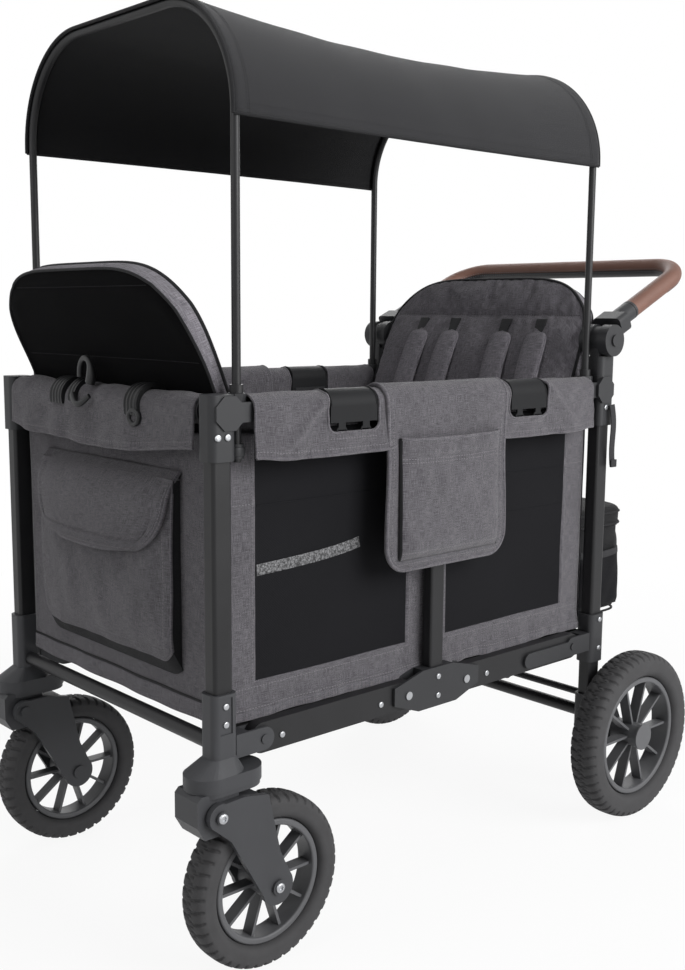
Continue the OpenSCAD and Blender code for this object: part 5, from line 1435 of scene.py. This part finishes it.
def handle_path(start, count):
    """The handle's centre line: arm, quarter bend, crossbar, bend, arm, in the tilted plane of its pivots."""
    straight, half = HANDLE_REACH - BEND_R, LEG_Y - BEND_R
    turn = np.linspace(0, np.pi / 2, count)
    arm = np.linspace(start, straight, count)
    out = np.concatenate([arm[:-1], straight + BEND_R * np.sin(turn), np.full(2 * count - 2, HANDLE_REACH),
                          straight + BEND_R * np.cos(turn), arm[::-1][1:]])
    bar_y = np.linspace(-half, half, 2 * count)[1:-1]
    y = np.concatenate([np.full(count - 1, -LEG_Y), -half - BEND_R * np.cos(turn), bar_y, half + BEND_R * np.sin(turn),
                        np.full(count - 1, LEG_Y)])
    c, s = math.cos(HANDLE_TILT), math.sin(HANDLE_TILT)
    return points(LEG_X + out * c - HANDLE_RISE * s, y, HANDLE_Z + out * s + HANDLE_RISE * c)


class WAGON_OT_grip(bpy.types.Operator):
    """Sews the dark strip under the leather grip and binds the grip's two ends"""

    bl_idname = "wagon.grip"
    bl_label = "Grip"

    def execute(self, context):
        path = handle_path(GRIP_START + 4, 24)
        up = (-math.sin(HANDLE_TILT), 0, math.cos(HANDLE_TILT))
        start, stop = math.radians(172), math.radians(302)
        turn = np.linspace(start, stop, 25)
        arc = np.stack([np.cos(turn), np.sin(turn)], -1)
        trim = Shape()
        path = path[20:-20]
        trim.tube(path, np.concatenate([(GRIP_R + 0.5) * arc, (GRIP_R - 0.4) * arc[::-1]])[::-1], up)
        for angle in (start - 0.13, stop + 0.13, start + 0.16, stop - 0.16):
            edge = (GRIP_R + 0.3) * np.array([[math.cos(angle), math.sin(angle)]])
            line = sweep(path, edge, up)[:, 0]
            trim.sew(line, line - path, 0.5)
        arm = handle_path(GRIP_START, 24)
        toward = np.linspace(0, 5.0, 6)[:, None] * np.array([math.cos(HANDLE_TILT), 0, math.sin(HANDLE_TILT)])
        for first in (arm[0], arm[-1]):
            trim.tube(first + toward, ring(GRIP_R + 0.6, 32), (0, 1, 0))
        trim.build("grip_strip", "handle", ["grip_strip", "thread"], "grip_leather", outward=True)
        return {"FINISHED"}


# Fasteners, clips and straps


def dome(radius, height, dish, count=20):
    """A rivet or bolt head seen along +Z: an edge, a rounded shoulder and, where dish is set, a sunk middle."""
    share = np.array([1.0, 1.0, 0.93, 0.8, 0.62, 0.46, 0.4, 0.02])
    rise = np.array([0.0, 0.5, 0.8, 0.95, 1.0, 1.0, 1.0 - dish, 1.0 - dish])
    turn = np.linspace(0, 2 * np.pi, count, endpoint=False)[None]
    wide = radius * share[:, None]
    return wide * np.cos(turn), wide * np.sin(turn), (height * rise)[:, None]


# Places of the heads on one side: X, outward Y and Z
RIVETS = {
    "front_frame": ((-388, COLLAR_OUT, 689), (-374, COLLAR_OUT, 689), (-378, COLLAR_OUT - 1.6, 361),
                    (-378, COLLAR_OUT - 1.6, 338)),
    "rear_frame": ((388, COLLAR_OUT, 689), (374, COLLAR_OUT, 689), (380, COLLAR_OUT, 340), (380, COLLAR_OUT, 292)),
    "center": ((0, 262.3, 293), (0, 262.3, 321)),
    "front_floor": ((-285, 258.0, 302), (-110, 258.0, 302)),
    "rear_floor": ((285, 258.0, 302), (110, 258.0, 302)),
}
FORK_BOLTS = ((-400, 287.5, 232), (FRONT_AXLE[0], 287.5, FRONT_AXLE[2]))


class WAGON_OT_fasteners(bpy.types.Operator):
    """Sets the rivet heads, pins and bolts that hold the frame"""

    bl_idname = "wagon.fasteners"
    bl_label = "Fasteners"

    def execute(self, context):
        for body, places in RIVETS.items():
            self.heads(body, places, (-1.0, 1.0), 4.3, 2.4, 0.0)
        for side_name, side in SIDES:
            self.heads(f"fork_{side_name}", FORK_BOLTS, (side,), 6.6, 3.0, 0.55)
        return {"FINISHED"}

    def heads(self, body, places, sides, radius, height, dish):
        """Heads of one kind on a body's sides, facing outwards."""
        a, b, rise = dome(radius, height, dish)
        shape = Shape()
        for side in sides:
            for x, y, z in places:
                shape.grid(points(x + a, side * (y - 0.15 + rise), z + b), (False, True), caps=True)
        shape.build(f"{body}_fasteners", body, ["rivet_steel"], "rivet_steel", outward=True)


class WAGON_OT_clips(bpy.types.Operator):
    """Adds the ribbed clips and hook on the front rail, rings and beads on the hangers, pole clips and the rear webbing
    strap
    """

    bl_idname = "wagon.clips"
    bl_label = "Clips and straps"

    def execute(self, context):
        self.front_clips()
        for end_name, end in ENDS:
            self.hanger_trim(end_name, end)
        for end_name, end in ENDS:
            self.pole_clips(end_name, end)
        self.rear_straps()
        return {"FINISHED"}

    def front_clips(self):
        """Three ribbed clips round the front rail, a ring under one of them and a hook with two arms beside another."""
        front = Shape()
        for y, half, skirt in ((87.5, 16.0, 9.0), (-103.0, 15.0, 13.0), (46.0, 9.0, 4.0)):
            across, w = mesh_grid(np.linspace(-half, half, 45), np.linspace(0, skirt + 82, 60))
            ribs = 2.0 * smooth((np.cos(across * 2 * np.pi / 8) + 0.35) / 0.9)
            skins = []
            for lift in (3.4 + ribs * np.sin(np.pi * w / (skirt + 82)) ** 0.3, -1.0):
                off, up = over_rail(w, skirt, lift, 22.0)
                skins.append(points(-(LEG_X + off), y + across, ARCH_Z + up))
                front.grid(skins[-1])
            front.grid(np.stack([rim_of(skin) for skin in skins], 1), (True, False))
        turn = np.linspace(0, 2 * np.pi, 40, endpoint=False)
        loop = points(-LEG_X - 24, -108 + 11 * np.cos(turn), ARCH_Z - 15 + 9 * np.sin(turn))
        front.tube(loop, bar(6, 7, 12, 0.7), (1, 0, 0), closed=True)
        t = np.linspace(0, 1, 40)
        turn = np.pi * (1.0 - 1.15 * t)
        hook = points(-LEG_X - 12 - 6 * t, 26 - 19 * np.cos(turn), 747 + 24 * np.sin(turn) + 4 * t)
        front.tube(hook, bar(11, 9, 14, 0.7), (1, 0, 0), grow=0.75 + 0.5 * smooth((t - 0.6) / 0.3))
        lower = points(-LEG_X - 27 - 5 * np.sin(np.pi * t), 40 - 44 * t, ARCH_Z + 6 - 12 * np.sin(np.pi * t))
        front.tube(lower, bar(9, 7, 12, 0.7), (1, 0, 0), grow=1 - 0.3 * t ** 2)
        front.build("front_rail_clips", "front_frame", ["clip_plastic"], "bracket_plastic", outward=True)

    def hanger_trim(self, end_name, end):
        """Rings round the hangers' holes and a bead along both of their edges."""
        shape = Shape()
        turn, over = np.linspace(0, 2 * np.pi, 40, endpoint=False), np.linspace(0, np.pi, 30)
        for _, side in SIDES:
            for x in (-21.0, 21.0):
                hole = points(end * (HANGER_X + x) + 8 * np.cos(turn), side * (LEG_Y + 19.6),
                              686.5 + 5.0 * np.sin(turn))
                shape.tube(hole, ring(1.5, 8), (0, 1, 0), closed=True)
            for x in (-39.0, 39.0):
                bead = points(end * (HANGER_X + x), side * (LEG_Y + 21.1 * np.cos(over)), ARCH_Z + 21.1 * np.sin(over))
                shape.tube(bead, ring(0.9, 6), (1, 0, 0))
        # The hanger trim is in the darker hanger plastic: painted shade.
        shape.build(f"{end_name}_hanger_trim", f"{end_name}_rails", ["hanger_plastic_shaded"], "bracket_plastic", outward=True)

    def pole_clips(self, end_name, end):
        """A flat band with rounded corners round the foot of each canopy pole."""
        shape = Shape()
        x, y = bar(17.2, 17.2, 48, 0.8).T
        for _, side in SIDES:
            shape.tube(points(end * POLE_X + x, side * (LEG_Y - 5 + y), 669), bar(2.4, 11, 12), (0, 0, 1), closed=True)
        shape.build(f"{end_name}_pole_clips", f"{end_name}_frame", ["bracket_plastic"], "bracket_plastic", outward=True)

    def rear_straps(self):
        """A hanging strap with a doubled end at each rear corner."""
        straps = Shape()
        t = np.linspace(0, 1, 40)
        for _, side in SIDES:
            hang = points(384 + 9 * t ** 2 + 1.5 * np.sin(t * 7), side * (271.0 + 3 * np.sin(t * 4)), 693 - 97 * t)
            straps.tube(hang, bar(13, 2.2, 16, 0.3), (0, side, 0))
            doubled = points(384 + 9, side * 271.5, np.linspace(604, 592, 8))
            straps.tube(doubled, bar(15, 4.5, 16, 0.4), (0, side, 0))
        straps.build("rear_straps", "rear_frame", ["webbing"], "black_cloth", outward=True)


class WAGON_OT_finishes(bpy.types.Operator):
    """Gives each part of the frame its finish"""

    bl_idname = "wagon.finishes"
    bl_label = "Finishes"

    def execute(self, context):
        make_finishes(context.scene)
        for name, node in frame["nodes"].items():
            for slot in node.material_slots:
                finish = slot.material.name.split(".")[0]
                # Casters and lower brackets get the lighter caster plastic, which is painted light.
                if finish == "bracket_plastic" and name.startswith(("caster", "front_lower")):
                    finish = "caster_plastic_lit"
                # Hangers get the darker hanger plastic, which is painted shade.
                elif name.endswith("hangers"):
                    finish = "hanger_plastic_shaded"
                slot.material = Finish.made[finish]
        return {"FINISHED"}


class WAGON_OT_stage(bpy.types.Operator):
    """Sets the camera, a pale floor and soft studio light"""

    bl_idname = "wagon.stage"
    bl_label = "Stage"

    def execute(self, context):
        scene = context.scene
        scene.view_settings.view_transform = "Standard"
        self.camera(scene)
        self.floor(scene)
        self.lights(scene)
        self.sky(scene)
        return {"FINISHED"}

    def stand(self, scene, data, axes, place):
        """Sets up a camera or lamp by its right, up and back axes and its place in metres."""
        thing = bpy.data.objects.new(data.name, data)
        pose = Matrix(np.stack(axes, 1).tolist()).to_4x4()
        pose.translation = place
        thing.matrix_world = pose
        scene.collection.objects.link(thing)
        return thing

    def camera(self, scene):
        """A camera placed by its azimuth, pitch and roll."""
        pitch, azimuth, roll = math.radians(8.343), math.radians(-42.158), math.radians(0.453)
        back = np.array([math.sin(azimuth) * math.cos(pitch), -math.cos(azimuth) * math.cos(pitch), math.sin(pitch)])
        right = np.array([math.cos(azimuth), math.sin(azimuth), 0.0])
        up = np.cross(back, right)
        c, s = math.cos(roll), math.sin(roll)
        right, up = c * right + s * up, c * up - s * right
        lens = bpy.data.cameras.new("camera")
        lens.lens, lens.sensor_width = 43.51, 36.0
        scene.camera = self.stand(scene, lens, (right, up, back), (-1.19266 + MIDDLE, -1.37180, 0.83467))

    def floor(self, scene):
        """A wide pale disc; the camera sees it lifted towards white, with the wagon's soft shadow kept."""
        turn, reach = mesh_grid(np.linspace(0, 2 * np.pi, 64, endpoint=False), [0.01, 2.0, 6.0, 30.0])
        grid = np.stack([reach * np.cos(turn), reach * np.sin(turn), 0 * turn - 0.0005], -1)
        mesh = bpy.data.meshes.new("floor")
        quads = corners(np.concatenate([np.arange(256), np.arange(4)]).reshape(65, 4))
        mesh.from_pydata(grid.reshape(-1, 3).tolist(), [], quads[:, ::-1].tolist() + [np.arange(0, 256, 4).tolist()])
        f = Finish("floor")
        seen = f.node("ShaderNodeLightPath", None, None, "Is Camera Ray")
        glossy = f.node("ShaderNodeLightPath", None, None, "Is Glossy Ray")
        grain = f.noise(f.places("Object"), 3.0)
        c = scene.wagon_colours.floor
        f.set(Base_Color=f.mix(grain, scaled(c, 0.985), c), Roughness=0.9)
        glow = f.node("ShaderNodeEmission", None, {"Color": (1, 1, 1, 1), "Strength": 1.0})
        reach = f.node("ShaderNodeVectorMath", {"operation": "LENGTH"}, {0: f.places("Object")}, "Value")
        share = (seen + glossy).kept() * (((reach - 0.9) / 1.2).kept() * 0.09 + 0.91)
        mixed = f.node("ShaderNodeMixShader", None, {0: share, 1: Value(f, f.shader.outputs[0]), 2: glow})
        output = next(n for n in f.tree.nodes if n.type == "OUTPUT_MATERIAL")
        f.tree.links.new(mixed.socket, output.inputs[0])
        mesh.materials.append(f.material)
        floor = bpy.data.objects.new("floor", mesh)
        scene.collection.objects.link(floor)

    def lights(self, scene):
        """Large soft lamps: a key on the left, a fill and a high lamp in front, and a back light."""
        for name, place, aim, size, power in (("key", (0.9, -3.2, 1.9), (0, 0, 0.6), 2.4, 150.0),
                                              ("fill", (-3.2, 0.2, 1.95), (0.3, 0, 0.75), 1.5, 20.0),
                                              ("top", (-1.5, -0.2, 3.3), (-0.2, 0, 0.6), 1.5, 17.0),
                                              ("back", (2.2, 2.4, 2.2), (0, 0, 0.7), 2.4, 50.0)):
            lamp = bpy.data.lights.new(name, "AREA")
            lamp.size, lamp.energy = size, power
            back = unit(np.subtract(place, aim))
            right = unit(np.cross((0, 0, 1), back))
            self.stand(scene, lamp, (right, np.cross(back, right), back), place)

    def sky(self, scene):
        """Even grey light all round, seen as white by the camera and in reflections."""
        world = bpy.data.worlds.new("studio")
        world.use_nodes = True
        n = Nodes(world.node_tree)
        shade = n.tree.nodes["Background"]
        n.feed(shade.inputs["Color"], (1, 1, 1))
        n.feed(shade.inputs["Strength"], 0.15)
        white = n.node("ShaderNodeBackground", None, {"Color": (1, 1, 1), "Strength": 1.0})
        seen = n.node("ShaderNodeLightPath", None, None, "Is Camera Ray")
        glossy = n.node("ShaderNodeLightPath", None, None, "Is Glossy Ray")
        clear = n.node("ShaderNodeLightPath", None, None, "Is Transmission Ray")
        pick = n.node("ShaderNodeMixShader", None,
                      {0: (seen + glossy + clear).kept(), 1: Value(n, shade.outputs[0]), 2: white})
        n.tree.links.new(pick.socket, n.tree.nodes["World Output"].inputs[0])
        scene.world = world


STEPS = (WAGON_OT_stage, WAGON_OT_finishes, WAGON_OT_canopy, WAGON_OT_sleeves, WAGON_OT_panels, WAGON_OT_front_pocket,
         WAGON_OT_rear_bag, WAGON_OT_saddle_bag, WAGON_OT_seat_backs, WAGON_OT_seat_bases, WAGON_OT_tyres,
         WAGON_OT_grip, WAGON_OT_fasteners, WAGON_OT_clips)


class WAGON_PT_steps(bpy.types.Panel):
    """The wagon's sizes, colours and steps"""

    bl_idname = "WAGON_PT_steps"
    bl_label = "Stroller wagon"
    bl_space_type = "VIEW_3D"
    bl_region_type = "UI"
    bl_category = "Wagon"

    def draw(self, context):
        for step in STEPS:
            self.layout.operator(step.bl_idname)
        for group in (context.scene.wagon_sizes, context.scene.wagon_colours):
            for key in group.__annotations__:
                self.layout.prop(group, key)


CLASSES = (WagonSizes, WagonColours, *STEPS, WAGON_PT_steps)


def register():
    for cls in CLASSES:
        bpy.utils.register_class(cls)
    bpy.types.Scene.wagon_sizes = bpy.props.PointerProperty(type=WagonSizes)
    bpy.types.Scene.wagon_colours = bpy.props.PointerProperty(type=WagonColours)


def unregister():
    del bpy.types.Scene.wagon_sizes, bpy.types.Scene.wagon_colours
    for cls in reversed(CLASSES):
        bpy.utils.unregister_class(cls)


def main():
    register()
    for step in STEPS:
        area, name = step.bl_idname.split(".")
        getattr(getattr(bpy.ops, area), name)()


if __name__ == "__main__":
    main()
